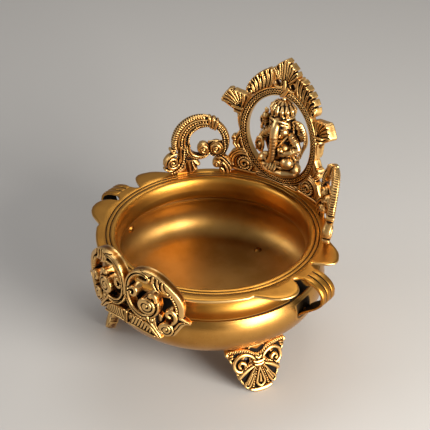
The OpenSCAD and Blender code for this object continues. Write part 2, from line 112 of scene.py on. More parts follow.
def brass(name, base, tarnish, bright, rough, patina_shade_depth, bump, mottle=0.0):
    """Antique brass. The mesh's patina_shade attribute darkens it towards BLACK, for old oxide in grooves and
    for painted shade, and brightens it for rubbed edges and painted highlights. mottle: how far cast grain
    breaks up the dark."""
    made = bpy.data.materials.new(name)
    made.use_nodes = True
    tree = made.node_tree
    shader = tree.nodes["Principled BSDF"]
    coords = tree.nodes.new("ShaderNodeTexCoord").outputs["Object"]
    patina_shade = node(tree, "ShaderNodeAttribute", attribute_name="patina_shade").outputs["Fac"]
    broad = noise(tree, coords, 28)
    fine = noise(tree, coords, 420, 5.0, 0.7)
    blotch = ranged(tree, broad, 0.38, 0.72)
    edge_brightening = ranged(tree, patina_shade, -0.2, -1.1)
    speck = maths(tree, "MULTIPLY", maths(tree, "SUBTRACT", fine, 0.5), 0.7 if mottle else 0.1)
    patches = maths(tree, "MULTIPLY", maths(tree, "SUBTRACT", noise(tree, coords, 330), 0.5), mottle)
    depth = maths(tree, "ADD", maths(tree, "ADD", patina_shade, speck), patches)
    patina_shade_mix = ranged(tree, depth, 0.08, 0.52, 0.0, patina_shade_depth)
    colour = mixed(tree, blotch, base, tarnish)
    # rubbed edges and painted highlights brighten
    colour = mixed(tree, edge_brightening, colour, bright)
    # patina and painted shade darken towards BLACK
    colour = mixed(tree, patina_shade_mix, colour, BLACK)
    tree.links.new(colour, shader.inputs["Base Color"])
    metal = ranged(tree, patina_shade_mix, 0.0, 1.0, 1.0, 0.1, False)
    tree.links.new(metal, shader.inputs["Metallic"])
    spread = 0.05 if mottle else 0.008
    grain = ranged(tree, fine, 0.3, 0.75, rough - spread, rough + 1.4 * spread, False)
    gloss = maths(tree, "ADD", grain, maths(tree, "MULTIPLY", patina_shade_mix, 0.42))
    tree.links.new(gloss, shader.inputs["Roughness"])
    shader.inputs["Specular IOR Level"].default_value = 0.12
    raised = node(tree, "ShaderNodeBump", Strength=bump, Distance=0.0004)
    tree.links.new(fine, raised.inputs["Height"])
    tree.links.new(raised.outputs["Normal"], shader.inputs["Normal"])
    return made


BOWL = brass("bowl_brass", (0.55, 0.28, 0.068), (0.44, 0.20, 0.038), (0.80, 0.52, 0.20), 0.28, 0.95, 0.004)
INSIDE = brass("inside_brass", (0.50, 0.275, 0.075), (0.38, 0.19, 0.040), (0.72, 0.46, 0.18), 0.40, 0.9, 0.03)
RIM = brass("rim_brass", (0.55, 0.26, 0.045), (0.43, 0.185, 0.027), (0.80, 0.50, 0.19), 0.36, 1.0, 0.08)
CAST = brass("cast_brass", (0.285, 0.106, 0.0155), (0.18, 0.062, 0.008), (0.80, 0.49, 0.175), 0.34, 1.0, 0.18,
             0.9)
IMAGE = brass("figure_brass", (0.305, 0.120, 0.0175), (0.19, 0.070, 0.009), (0.90, 0.60, 0.25), 0.32, 1.0,
              0.15, 2.2)
FIXING = brass("fixing_brass", (0.36, 0.16, 0.03), (0.26, 0.11, 0.018), (0.55, 0.31, 0.10), 0.42, 0.9, 0.2)


# ---------------------------------------------------------------- meshes
def neighbours(quads):
    """Each pair of points that share an edge, both ways round."""
    edges = np.concatenate([quads[:, [i, (i + 1) % 4]] for i in range(4)])
    edges = edges[edges[:, 0] != edges[:, 1]]
    return np.concatenate([edges, edges[:, ::-1]])


def averaged(points, pairs):
    """The mean of the points that each point shares an edge with."""
    n = len(points)
    count = np.maximum(np.bincount(pairs[:, 0], minlength=n), 1)
    return np.stack([np.bincount(pairs[:, 0], points[pairs[:, 1], k], n) / count for k in range(3)], 1)


def normals_of(points, quads):
    a = points[quads[:, 2]] - points[quads[:, 0]]
    b = points[quads[:, 3]] - points[quads[:, 1]]
    face = np.cross(a, b)
    out = np.zeros_like(points)
    for k, i in itertools.product(range(3), range(4)):
        out[:, k] += np.bincount(quads[:, i], face[:, k], len(points))
    return out / np.maximum(np.linalg.norm(out, axis=1), 1e-12)[:, None]


def recess_of(points, quads):
    """About +1 in the bottom of a groove and -1 on a sharp edge."""
    pairs, normal = neighbours(quads), normals_of(points, quads)
    moved, out, done = points, np.zeros(len(points)), 0
    for rounds, depth in ((8, 0.13), (40, 0.30)):
        while done < rounds:
            moved = averaged(moved, pairs)
            done += 1
        out += ((moved - points) * normal).sum(1) / depth
    return np.clip(out, -2, 2)


def outward(points, quads):
    """The quads turned so that their normals point out of the solid."""
    a, b, c, d = (points[quads[:, i]] for i in range(4))
    volume = (a * np.cross(b, c)).sum() + (a * np.cross(c, d)).sum()
    return quads[:, ::-1] if volume < 0 else quads


def crowding(field, low, points, normal, reach):
    """The share of solid in a box of that half-width in front of each point: 0 in the open."""
    share, n = (field > 0).astype(np.float32), max(1, round(reach / STEP))
    for axis, size in enumerate(field.shape):
        pad = [(n + 1, n) if k == axis else (0, 0) for k in range(3)]
        run = np.cumsum(np.pad(share, pad), axis)
        ahead, behind = np.arange(size) + 2 * n + 1, np.arange(size)
        share = (np.take(run, ahead, axis) - np.take(run, behind, axis)) / (2 * n + 1)
    at = np.rint((points + normal * (n + 0.7) * STEP - low) / STEP).astype(int)
    at = np.clip(at, 0, np.array(field.shape) - 1)
    return share[tuple(at.T)]


def patina_and_shade_of(field, low, points, quads):
    """recess_of for old oxide in grooves, plus painted shade where other parts of the solid crowd round."""
    quads = outward(points, quads)
    normal = normals_of(points, quads)
    # painted shade: the share of solid crowding round darkens like ambient occlusion
    near, wide = (crowding(field, low, points, normal, reach) for reach in (0.9, 2.4))
    return 0.8 * recess_of(points, quads) + 1.7 * near + 1.1 * wide


def piece(name, points, quads, material, replaced, patina_and_shade=None):
    """A mesh object that rides on the root body. points are in millimetres."""
    points = np.asarray(points, float)
    quads = outward(points, np.asarray(quads))
    if patina_and_shade is None:
        patina_and_shade = recess_of(points, quads)
    mesh = bpy.data.meshes.new(name)
    mesh.from_pydata((points * MM).tolist(), [], quads.tolist())
    mesh.attributes.new("patina_shade", "FLOAT", "POINT").data.foreach_set("value", patina_and_shade.astype(np.float32))
    tidy = bmesh.new()
    tidy.from_mesh(mesh)
    bmesh.ops.remove_doubles(tidy, verts=tidy.verts, dist=1e-7)
    tidy.to_mesh(mesh)
    tidy.free()
    mesh.polygons.foreach_set("use_smooth", np.ones(len(mesh.polygons), bool))
    mesh.materials.append(material)
    made = bpy.data.objects.new(name, mesh)
    scene.collection.objects.link(made)
    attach(made, "root")
    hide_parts(*replaced)
    return made


def grid_quads(rows, columns, close_rows):
    """The quads between rows of points. Each row closes on itself; close_rows: the last joins the first."""
    i, j = np.arange(rows if close_rows else rows - 1), np.arange(columns)
    i, j = (x.ravel() for x in np.meshgrid(i, j, indexing="ij"))
    k, m = (i + 1) % rows, (j + 1) % columns
    return np.stack([i * columns + j, k * columns + j, k * columns + m, i * columns + m], 1)


def surface_net(field, low):
    """Points and quads of the zero level of a field that is positive inside the solid."""
    inside = field > 0
    size = [n - 1 for n in field.shape]
    count = np.zeros(size, np.int8)
    for i, j, k in itertools.product((0, 1), repeat=3):
        count += inside[i:i + size[0], j:j + size[1], k:k + size[2]]
    cells = np.argwhere((count > 0) & (count < 8))
    index = np.full(size, -1, np.int64)
    index[tuple(cells.T)] = np.arange(len(cells))
    total, hits = np.zeros((len(cells), 3)), np.zeros(len(cells))
    for axis in range(3):
        u, v = [a for a in range(3) if a != axis]
        for du, dv in itertools.product((0, 1), repeat=2):
            start = cells.copy()
            start[:, u] += du
            start[:, v] += dv
            end = start.copy()
            end[:, axis] += 1
            a, b = field[tuple(start.T)], field[tuple(end.T)]
            cross = (a > 0) != (b > 0)
            point = (start - cells)[cross].astype(float)
            point[:, axis] = (a / np.where(cross, a - b, 1))[cross]
            total[cross] += point
            hits[cross] += 1
    points = low + STEP * (cells + total / hits[:, None])
    quads = []
    for axis in range(3):
        u, v = [a for a in range(3) if a != axis]
        first, second = [slice(None)] * 3, [slice(None)] * 3
        first[axis], second[axis] = slice(0, -1), slice(1, None)
        spots = np.argwhere(inside[tuple(first)] != inside[tuple(second)])
        around = []
        for du, dv in ((0, 0), (1, 0), (1, 1), (0, 1)):
            spot = spots.copy()
            spot[:, u] -= du
            spot[:, v] -= dv
            around.append(index[tuple(spot.T)])
        quad = np.stack(around, 1)
        flip = inside[tuple(spots.T)] == (axis == 1)
        quad[flip] = quad[flip][:, ::-1]
        quads.append(quad)
    return points, np.concatenate(quads)


def meshed(field, low):
    """Points, quads and darkening of a field's solid, for oxide in grooves and painted shade; low is the
    field's first corner.
    """
    field = np.pad(field, 1, constant_values=-1.0)
    low = np.asarray(low, float) - STEP
    points, quads = surface_net(field, low)
    pairs = neighbours(quads)
    for _ in range(2):
        points = points + 0.35 * (averaged(points, pairs) - points)
    return points, quads, patina_and_shade_of(field, low, points, quads)


# ---------------------------------------------------------------- lines
def curve(p, q, r, s, n=12):
    """A Bezier curve."""
    t = np.linspace(0, 1, n + 1)[:, None]
    p, q, r, s = (np.asarray(x, float) for x in (p, q, r, s))
    return (1 - t) ** 3 * p + 3 * (1 - t) ** 2 * t * q + 3 * (1 - t) * t * t * r + t ** 3 * s


def arc(centre, radius, a, b, n=24, end_radius=None):
    """An arc, or a spiral where end_radius is given; angles in degrees."""
    t = np.radians(np.linspace(a, b, n + 1))
    r = np.linspace(radius, radius if end_radius is None else end_radius, n + 1)
    return np.stack([centre[0] + r * np.cos(t), centre[1] + r * np.sin(t)], 1)


def flowing(points, n=8):
    """A smooth line through the points."""
    p = np.asarray(points, float)
    p = np.concatenate([[2 * p[0] - p[1]], p, [2 * p[-1] - p[-2]]])
    t = np.linspace(0, 1, n, endpoint=False)[:, None]
    out = [0.5 * (2 * b + (c - a) * t + (2 * a - 5 * b + 4 * c - d) * t ** 2 +
                  (3 * b - a - 3 * c + d) * t ** 3)
           for a, b, c, d in zip(p, p[1:], p[2:], p[3:])]
    return np.concatenate([*out, p[-2:-1]])


# ---------------------------------------------------------------- relief castings
# Each shape gives a band's height from v, the place across it (-1 to 1), a, the distance along it, and
# w, its half width. base and rise are heights above the casting's middle plane.
def dome(base, rise):
    return lambda v, a, w: base + rise * np.sqrt(np.clip(1 - v * v, 0, 1))


def rope(base, rise, pitch, slant=0.35):
    return lambda v, a, w: base + rise * np.sqrt(np.clip(1 - v * v, 0, 1)) * (
        0.66 + 0.34 * np.cos(2 * np.pi * (a / pitch + slant * v)))


def pearls(base, rise, pitch):
    def shape(v, a, w):
        along = (a / pitch) % 1 - 0.5
        r = np.minimum(w, pitch / 2)
        return base + rise * np.sqrt(np.clip(1 - ((v * w) ** 2 + (along * pitch) ** 2) / r ** 2, 0, 1))
    return shape


def railed(base, rise, pitch, rail=0.26):
    """A row of pearls between two rails."""
    def shape(v, a, w):
        edge = (np.abs(v) - (1 - rail / 2)) / (rail / 2)
        rails = np.sqrt(np.clip(1 - edge ** 2, 0, 1))
        along = (a / pitch) % 1 - 0.5
        r = np.minimum(w * (1 - rail) * 0.96, pitch * 0.5)
        bead = np.sqrt(np.clip(1 - ((v * w) ** 2 + (along * pitch) ** 2) / r ** 2, 0, 1))
        return base + rise * np.maximum(rails, bead)
    return shape


def braided(base, rise, pitch):
    """Two strands that cross and cross again between two rails."""
    def shape(v, a, w):
        swing = 0.36 * np.sin(2 * np.pi * a / pitch)
        strand = np.maximum(*(np.clip(1 - ((v - side * swing) / 0.25) ** 2, 0, 1) for side in (-1, 1)))
        rail = np.clip(1 - ((np.abs(v) - 0.83) / 0.17) ** 2, 0, 1)
        return base + rise * np.sqrt(np.maximum(strand, rail))
    return shape


def gabled(base, rise):
    return lambda v, a, w: base + rise * (1 - np.abs(v))


def flat(top):
    """A flat boss with a rounded edge."""
    return lambda v, a, w: top - 1.2 * np.abs(v) ** 8


def trough(bed):
    """A round-bottomed cut."""
    return lambda v, a, w: bed + 1.2 * v * v


def ribbed(base, rise, ribs):
    return lambda v, a, w: base + rise * np.abs(np.sin(ribs * np.pi * (v + 1) / 2)) ** 0.7


class Relief:
    """The outline and the face of a flat casting, over a grid of (sideways, height) points."""

    def __init__(self, low, high, floor=1.2):
        self.low, self.floor, self.side = low, floor, 1
        self.s, self.z = np.meshgrid(np.arange(low[0], high[0], STEP), np.arange(low[1], high[1], STEP),
                                     indexing="ij")
        self.mask = np.full(self.s.shape, -4.0)
        self.face = np.full(self.s.shape, floor)

    def strip(self, line, width, shape, moat=0.45, grow=True, bed=None):
        """A band along a line, laid over what is there, with a groove of width moat beside it. width:
        its half widths, spread along the line. grow: it may widen the casting's outline. bed: height of
        the groove's bottom. Where self.side is -1 the line is mirrored."""
        line = np.asarray(line, float) * (self.side, 1)
        width = np.interp(np.linspace(0, 1, len(line)), np.linspace(0, 1, np.size(width)), np.ravel(width))
        reach = width.max() + 1.6
        i0, j0 = ((line.min(0) - reach - self.low) / STEP).astype(int).clip(0)
        i1, j1 = ((line.max(0) + reach - self.low) / STEP).astype(int) + 2
        zone = (slice(i0, max(i1, i0)), slice(j0, max(j1, j0)))
        s, z = self.s[zone], self.z[zone]
        gap = np.full(s.shape, 9.0)
        across, along, local = np.zeros_like(gap), np.zeros_like(gap), np.ones_like(gap)
        run = 0.0
        for p, q, a, b in zip(line, line[1:], width, width[1:]):
            e = q - p
            length = np.hypot(*e)
            if length < 1e-9:
                continue
            t = np.clip(((s - p[0]) * e[0] + (z - p[1]) * e[1]) / length ** 2, 0, 1)
            ds, dz = s - p[0] - t * e[0], z - p[1] - t * e[1]
            w = a + (b - a) * t
            dist = np.hypot(ds, dz)
            nearer = dist - w < gap
            gap = np.where(nearer, dist - w, gap)
            across = np.where(nearer, dist / w * np.sign(e[0] * dz - e[1] * ds), across)
            along = np.where(nearer, run + t * length, along)
            local = np.where(nearer, w, local)
            run += length
        face = self.face[zone]
        face = np.where((gap < moat) & (gap >= 0), np.minimum(face, self.floor if bed is None else bed), face)
        self.face[zone] = np.where(gap < 0, shape(across, along, local), face)
        if grow:
            self.mask[zone] = np.maximum(self.mask[zone], -gap)

    def band(self, points, *rest):
        """A strip along the smooth line through the points."""
        self.strip(flowing(points), *rest)

    def knob(self, s, z, *rest):
        """A round boss."""
        self.strip([(s - 0.1, z), (s + 0.1, z)], *rest)

    def fill(self, outline, height):
        """A flat web with that outline."""
        outline = np.asarray(outline, float)
        gap, inside = np.full(self.s.shape, 9.0), np.zeros(self.s.shape, bool)
        for p, q in zip(outline, np.roll(outline, -1, 0)):
            e = q - p
            t = np.clip(((self.s - p[0]) * e[0] + (self.z - p[1]) * e[1]) / max(e @ e, 1e-9), 0, 1)
            gap = np.minimum(gap, np.hypot(self.s - p[0] - t * e[0], self.z - p[1] - t * e[1]))
            crosses = (p[1] > self.z) != (q[1] > self.z)
            inside ^= crosses & (self.s < (q[0] - p[0]) * (self.z - p[1]) / (q[1] - p[1] + 1e-12) + p[0])
        signed = np.where(inside, gap, -gap)
        self.face = np.where((signed > 0) & (self.mask < 0), height, self.face)
        self.mask = np.maximum(self.mask, signed)

    def notch(self, a, b, width):
        """A cut right through the edge, along the line from a to b."""
        a, e = np.array(a, float), np.array(b, float) - a
        t = np.clip(((self.s - a[0]) * e[0] + (self.z - a[1]) * e[1]) / (e @ e), 0, 1)
        gap = np.hypot(self.s - a[0] - t * e[0], self.z - a[1] - t * e[1]) - width
        self.mask = np.minimum(self.mask, gap)

    def hole(self, centre, radii):
        """An oval hole right through."""
        gap = (1 - np.hypot((self.s - centre[0]) / radii[0], (self.z - centre[1]) / radii[1])) * min(radii)
        self.mask = np.minimum(self.mask, -gap)

    def field(self, d, back, round_edge=0.7):
        """The solid's field at the depths d. back: the back face's depth, as a number or over the grid."""
        rear = np.broadcast_to(back, self.s.shape)[:, :, None] + d
        return soft_min(soft_min(self.face[:, :, None] - d, rear, 0.3), self.mask[:, :, None], round_edge)

    def solid(self, back, round_edge=0.7):
        """Points as (sideways, height, depth), quads, and darkening for oxide in grooves and painted shade.
        """
        low = -np.max(back) - 2 * STEP
        d = np.arange(low, max(self.face.max(), 1) + 2 * STEP, STEP)
        return meshed(self.field(d, back, round_edge), (*self.low, low))


def soft_min(a, b, k):
    h = np.clip(k - np.abs(a - b), 0, None) / k
    return np.minimum(a, b) - h * h * k / 4


def soft_max(a, b, k):
    return -soft_min(-a, -b, k)


def casting(name, solid, place, replaced):
    """place maps (sideways, height, depth) to the frame."""
    points, quads, patina_and_shade = solid
    piece(name, place(*points.T), quads, CAST, [replaced], patina_and_shade)


def on_wall(middle, radius, sense, lean=0.0, outward=1):
    """A place on an upright curved wall. Sideways runs with growing bearing where sense is 1, depth runs
    outwards where outward is 1, and height is above the rim. lean: degrees outwards from upright."""
    m, c, t = math.radians(middle), math.cos(math.radians(lean)), math.sin(math.radians(lean))

    def place(s, z, d):
        turn, r = sense * s / radius, radius + outward * d
        x, y = r * np.sin(turn), r * np.cos(turn)
        y, up = radius + (y - radius) * c + z * t, z * c - (y - radius) * t
        return np.stack([x * math.cos(m) + y * math.sin(m), y * math.cos(m) - x * math.sin(m), RIM_Z + up], 1)
    return place


def on_frame(s, z, d):
    """Depth runs forwards, from the middle of the frame's wall."""
    bearing = np.arcsin(np.clip(s / FRAME_MID, -1, 1))
    r = FRAME_MID - d
    x, y = r * np.sin(bearing), FRAME_Y - FRAME_CURVE + r * np.cos(bearing)
    c, t = math.cos(FRAME_LEAN), math.sin(FRAME_LEAN)
    return np.stack([x, FRAME_Y + (y - FRAME_Y) * c + z * t, RIM_Z + z * c - (y - FRAME_Y) * t], 1)


# ---------------------------------------------------------------- bowl and rim
def lathe(profile, columns, radial):
    """profile: a closed (radius, height) loop. radial turns (r, z, bearing) into the real r and z."""
    profile = np.asarray(profile, float)
    bearing = np.linspace(0, 2 * np.pi, columns, endpoint=False)[:, None]
    r = np.broadcast_to(profile[None, :, 0], (columns, len(profile)))
    z = np.broadcast_to(profile[None, :, 1], (columns, len(profile)))
    r, z = radial(r, z, bearing)
    points = np.stack([r * np.sin(bearing), r * np.cos(bearing), z], 2).reshape(-1, 3)
    return points, grid_quads(columns, len(profile), True)


def groove(radius, depth=0.75, half=0.5):
    """An engraved ring in the rim's profile."""
    return [(radius - half - 0.15, RIM_Z), (radius - half, RIM_Z - 0.12),
            (radius - half * 0.5, RIM_Z - depth), (radius + half * 0.5, RIM_Z - depth),
            (radius + half, RIM_Z - 0.12), (radius + half + 0.15, RIM_Z)]


def rim_edge(bearing):
    """Radius of the rim's outline at a bearing."""
    def polar(r, b):
        return r * math.sin(math.radians(b)), r * math.cos(math.radians(b))

    r = RIM_R
    line = np.concatenate([
        [polar(r, b) for b in range(0, 58, 3)],
        curve(polar(r, 59), polar(r + 1, 63), polar(r + 9, 65), polar(r + 12, 70)),
        curve(polar(r + 13.5, 73), polar(r + 15, 77), polar(r + 11, 79), polar(99, 81.5)),
        curve((97, 13), (100, 9.5), (103, 9), (106.6, 9)),
        curve((106.6, -9), (103, -9), (101, -11), (98.5, -14.5)),
        curve(polar(101, 99.5), polar(r + 13, 99.5), polar(r + 17, 106), polar(r + 11.5, 112)),
        curve(polar(r + 9, 114.5), polar(r + 5, 118), polar(r + 1, 120), polar(r - 1, 122.5)),
        [polar(r + 0.5, b) for b in range(125, 181, 5)]])
    angle, radius = np.arctan2(line[:, 0], line[:, 1]), np.hypot(*line.T)
    order = np.argsort(angle)
    folded = np.abs((bearing + np.pi) % (2 * np.pi) - np.pi)
    return np.interp(folded, angle[order], radius[order])


def rim_radial(r, z, bearing):
    """Stretches what lies beyond RIM_FROM out to the rim's outline, with a hand-worked waviness."""
    edge = rim_edge(bearing)
    share = np.clip((r - RIM_FROM) / (RIM_R - RIM_FROM), 0, 1)
    flange = (z > 106.5) & (r > RIM_FROM)
    out = np.where(flange, RIM_FROM + (edge - RIM_FROM) * share, r)
    wave = 0.10 * np.sin(5 * bearing + 1) + 0.07 * np.sin(11 * bearing + 2) + 0.05 * np.sin(23 * bearing)
    droop = np.where(flange, -0.7 * share * np.clip((edge - 104) / 12, 0, 1) ** 1.5, 0)
    return out + 0.6 * wave * (r > 86), z + wave * np.clip((r - 88) / 10, 0, 1) + droop


def bend(centre, radius, angles):
    """Points of a profile at those angles, in degrees, round a circle."""
    return [(centre[0] + radius * math.cos(math.radians(a)), centre[1] + radius * math.sin(math.radians(a)))
            for a in angles]


lip = [*curve((SEAM[0] - 3.5, SEAM[1] - 0.3), (89, 86.5), (83, 88), (83, 94), 14),
       *curve((83, 98), (83.9, 103.4), (84.8, 109.9), (89, RIM_Z), 16)]
edge_top = [(r, RIM_Z - down) for r, down in (
    (98.6, 0), (100.6, 0), (101.8, 0), (102.6, 0.12), (103.2, 0.5), (RIM_R, 1.2), (RIM_R, 2.1), (103.1, 2.8),
    (102.2, 3), (100, 3), (97.5, 3), (95, 3))]
neck = bend(NECK, 12, range(132, 246, 6))
shoulder = [(94.6, 84.1), (95.6, 83.6), (96.1, 83.15), (95.7, 82.75), (94.4, 82.6)]


def behind_scrolls(bearing):
    """1 at the bearings behind the front ornaments, where painted shade is laid on the neck."""
    off = np.abs((np.degrees(bearing) - FRONT + 180) % 360 - 180)
    return np.clip((27 - off) / 10, 0, 1)


def behind_handles(bearing, reach=9):
    """1 at the bearings under the two handles, where painted shade is laid."""
    off = np.abs(np.abs((np.degrees(bearing) + 180) % 360 - 180) - 90)
    return np.clip((reach - off) / 4, 0, 1)


def rim_patina_and_shade(points):
    """Dark in the engraved rings and on the seam's joint, with painted shade along the seam that is strongest
    at the right front and on the neck behind the front ornaments and the handles; bright on the rim's rubbed
    edge.
    """
    r, z = np.hypot(points[:, 0], points[:, 1]), points[:, 2]
    bearing = np.arctan2(points[:, 0], points[:, 1])
    rings = np.clip((RIM_Z - 0.25 - z) / 0.3, 0, 1) * (r > 90) * (r < 96.2) * (z > 108.6)
    # painted shade along the seam, strongest at the right front, over a fainter dark joint all round
    joint_and_shade = 0.35 + 0.65 * np.exp(-((bearing - 1.83) / 0.42) ** 2)
    seam = np.exp(-((z - 83.1) / 0.45) ** 2) * (r > 95) * joint_and_shade
    edge_brightening = np.clip((r - rim_edge(bearing) + 0.9) / 0.6, 0, 1) * (z > 106) * (r > 99)
    # no rubbed brightening under the handles, where painted shade lies
    edge_brightening = edge_brightening * (1 - behind_handles(bearing))
    # painted shade on the outer neck behind the front ornaments and under the handles
    outside = (z < 108.5) * ((np.hypot(r - NECK[0], z - NECK[1]) < 12.6) | (r > 98))
    return rings + seam - edge_brightening + np.maximum(behind_scrolls(bearing), behind_handles(bearing)) * outside


def hand_worked(r, z, b):
    """Slight waves in the bowl's wall."""
    return r + 0.12 * np.sin(3 * b + z / 9) * (r > 60) + 0.05 * np.sin(7 * b + 1) * (r > 60), z + 0 * b


points, quads = lathe([*lip, *groove(91.5), *groove(95), *edge_top, *neck, *shoulder], 720, rim_radial)
piece("rim_casting", points, quads, RIM, ["rim_and_neck"], rim_patina_and_shade(points))

belly = bend(BELLY, BELLY_R, range(-75, 28, 3))
inner = bend(BELLY, BELLY_R - 3.5, range(27, -76, -3))
points, quads = lathe([
    (0, 36), (10, 36), (22, 36), (34, 36.0), (46, 36.1), (56, 36.5), (66, 37.6), (74, 39.2), *belly,
    (97.4, 80.9), (97.2, 82.0), (96.6, 82.55), (95.6, 82.6), (94.7, 82.4), (94.2, 81.6), *inner,
    (72, 42.6), (64, 41.2), (52, 40.1), (36, 39.6), (16, 39.5), (0, 39.5)], 480, hand_worked)
bearing, radius = np.arctan2(points[:, 0], points[:, 1]), np.hypot(points[:, 0], points[:, 1])
# painted shade on the neck behind the front ornaments and on the upper belly under the handles
patina_and_shade = behind_scrolls(bearing) * (radius > 92) * (points[:, 2] > 76)
patina_and_shade += behind_handles(bearing, 7) * (radius > 99) * np.clip((points[:, 2] - 60) / 6, 0, 1)
bowl = piece("bowl_body", points, quads, BOWL, ["bowl_shell"], patina_and_shade)
bowl.data.materials.append(INSIDE)
for face in bowl.data.polygons:
    x, y, z = face.center / MM
    r = math.hypot(x, y)
    face.material_index = int(r < 98 and math.dist((r, z), BELLY) < 26.3 or r < BELLY[0] and z > 39)


# ---------------------------------------------------------------- strap handles
def strap(inset):
    """(radius, height) points along a handle, that far inside its outer face."""
    out = HANDLE_R - inset
    return np.concatenate([
        [(103.6, RIM_Z - 0.6 - 0.8 * inset)],
        curve((105.6, RIM_Z - inset), (114 - inset / 2, RIM_Z - inset), (out, 106 - inset), (out, 96), 26),
        curve((out, 92 - inset / 4), (out - 3, 82), (110 - inset / 2, 76 + inset),
              (101.5, 66.5 + inset * 1.2), 24),
        [(99.4, 64.6 + inset * 1.2)]])


def handle(name, side, replaced):
    """A strap with three ribs, from a stub of the rim back to the belly."""
    outer, inside = strap(0), strap(3)
    across = np.linspace(-1, 1, 61)
    rib = 0.10 * np.abs(np.cos(1.5 * np.pi * across)) ** 0.5
    cut = sum(np.exp(-(((across - c) * HANDLE_HALF) / 0.62) ** 4) for c in (-1 / 3, 1 / 3))
    # round the section: None follows the ribbed outer face, 0 is the inner face
    ring = [(a, None) for a in across] + [(1, 0.75), (1, 0.5), (1, 0.25)]
    ring += [(a, 0) for a in np.linspace(1, -1, 21)] + [(-1, 0.25), (-1, 0.5), (-1, 0.75)]
    rows = []
    for i, (o, n) in enumerate(zip(outer, inside)):
        t = i / (len(outer) - 1)
        start = np.clip((o[0] - 107.2) / 2.5, 0, 1) if t < 0.5 else 1
        row = []
        for k, (a, level) in enumerate(ring):
            if level is None:
                level = 1 - 0.5 * start * cut[k] + start * (rib[k] - 0.05) - 0.22 * np.abs(a) ** 14
            round_off = 0.5 * (abs(a) > 0.999) * (abs(level - 0.5) > 0.3)
            width = HANDLE_HALF + 0.5 * start * (1 - t)
            r, z = n + (o - n) * level
            row.append((side * r, a * (width - round_off), z))
        rows.append(row)
    rows = [np.broadcast_to(np.mean(rows[0], 0), (len(ring), 3)), *rows,
            np.broadcast_to(np.mean(rows[-1], 0), (len(ring), 3))]
    points, quads = np.concatenate(rows), grid_quads(len(rows), len(ring), False)
    # painted shade on the strap's inner face; patina in the grooves, and the strap's sides rubbed bright
    slots = 1.1 * cut * (1 - np.isin(np.arange(61), (0, 60)))
    shade = np.concatenate([slots, [-0.35, -0.2, 0.1], np.full(21, 0.75), [0.1, -0.2, -0.35]])
    piece(name, points, quads, RIM, replaced, np.tile(shade, len(rows)))


handle("handle_strap_right", 1, ["handle_right"])
handle("handle_strap_left", -1, ["handle_left"])


# ---------------------------------------------------------------- side scrolls
def arch(f, a, b, n=40):
    """Part of a line between the arch's outer edge (f 0) and its inner edge (f 1)."""
    t = np.radians(np.linspace(a, b, n))
    outer = np.stack([-1 + 27.6 * np.cos(t), 33 + 27.4 * np.sin(t)], 1)
    within = np.stack([4.5 + 14.2 * np.cos(t), 35 + 14 * np.sin(t)], 1)
    return outer + (within - outer) * f


def side_leaf(r):
    """Acanthus leaf, and the foot of the scroll on the rim."""
    r.fill([(-24, -1), (-24, 3), (-17.5, 6), (-16.5, 20), (-9, 18), (-4, 15), (-3.2, 8), (-6, 2), (-10, -1)],
           1.7)
    for tip, bow in (((-3.6, 14.6), 3), ((-2.8, 9.0), 2), ((-5.4, 3.6), 0), ((-11.0, 1.4), -1)):
        r.strip(curve((-13.5, 19), (-12 + bow, 15), ((-11 + tip[0]) / 2, tip[1] + 3), tip, 10),
                [1.4, 2.5, 2.8, 1.9], gabled(2.0, 1.7))


def side_arch(r):
    """Arch: rope, fillet, pearls, ridge and beaded inner edge."""
    r.strip(arch(0.5, 62, 232), [5.0, 7.4, 8.3, 8.0, 5.5, 3.2], dome(1.4, 0.2))
    r.strip(np.concatenate([arch(0.12, 84, 190), [(-27.6, 27.5), (-26.6, 24.8)]]), [2.0, 2.5, 2.7, 2.5, 2.2],
            rope(2.0, 1.7, 2.3))
    r.strip(arc((-26.9, 27.4), 2.6, 150, 420, 20, 0.6), [1.4, 1.2], dome(2.4, 1.5))
    r.strip(arch(0.34, 74, 212), [0.8, 1.2, 1.2, 0.9], dome(2.0, 1.1))
    r.strip(arch(0.50, 72, 226), [1.0, 1.25, 1.3, 1.1], pearls(1.9, 1.5, 2.6))
    r.strip(arch(0.66, 72, 222), [0.7, 1.0, 1.0, 0.8], dome(2.1, 1.2))
    r.strip(arch(0.86, 70, 205), [0.8, 1.1, 1.2, 1.0], pearls(2.0, 1.5, 2.2))


def side_right_pearl(r):
    """Right half of the arch, winding into the right pearl."""
    r.strip(np.concatenate([arch(0.16, 52, -22), [(21, 18.5), (15, 15.8)]]), [1.3, 1.4, 1.3, 1.2],
            pearls(1.8, 1.5, 2.5))
    r.strip(np.concatenate([arch(0.56, 54, 8), arc((14, 27), 9, 10, -150, 20, 7.2)]), [2.2, 2.5, 2.4, 2.0],
            railed(2.0, 1.5, 2.4))
    r.knob(14.3, 26.4, 7.0, dome(1.6, 3.6), 0.6)
    r.strip(arc((14.3, 26.4), 5.4, 200, -340, 60, 1.2), [1.2, 1.5, 1.4, 1.0], dome(4.0, 1.7), 0.3, True, 3.4)
    r.knob(14.3, 26.4, 1.4, dome(5.0, 1.5), 0.3, True, 3.6)


def side_clasp(r):
    """Clasp."""
    for a, wide in ((71.5, 1.9), (62.5, 2.4), (54, 1.9)):
        line = np.stack([arch(f, a, a, 1)[0] for f in (0.06, 0.5, 0.92)])
        r.strip(line, [wide * 0.9, wide, wide * 0.75], dome(2.5, 1.9), 0.25, True, 2.4)


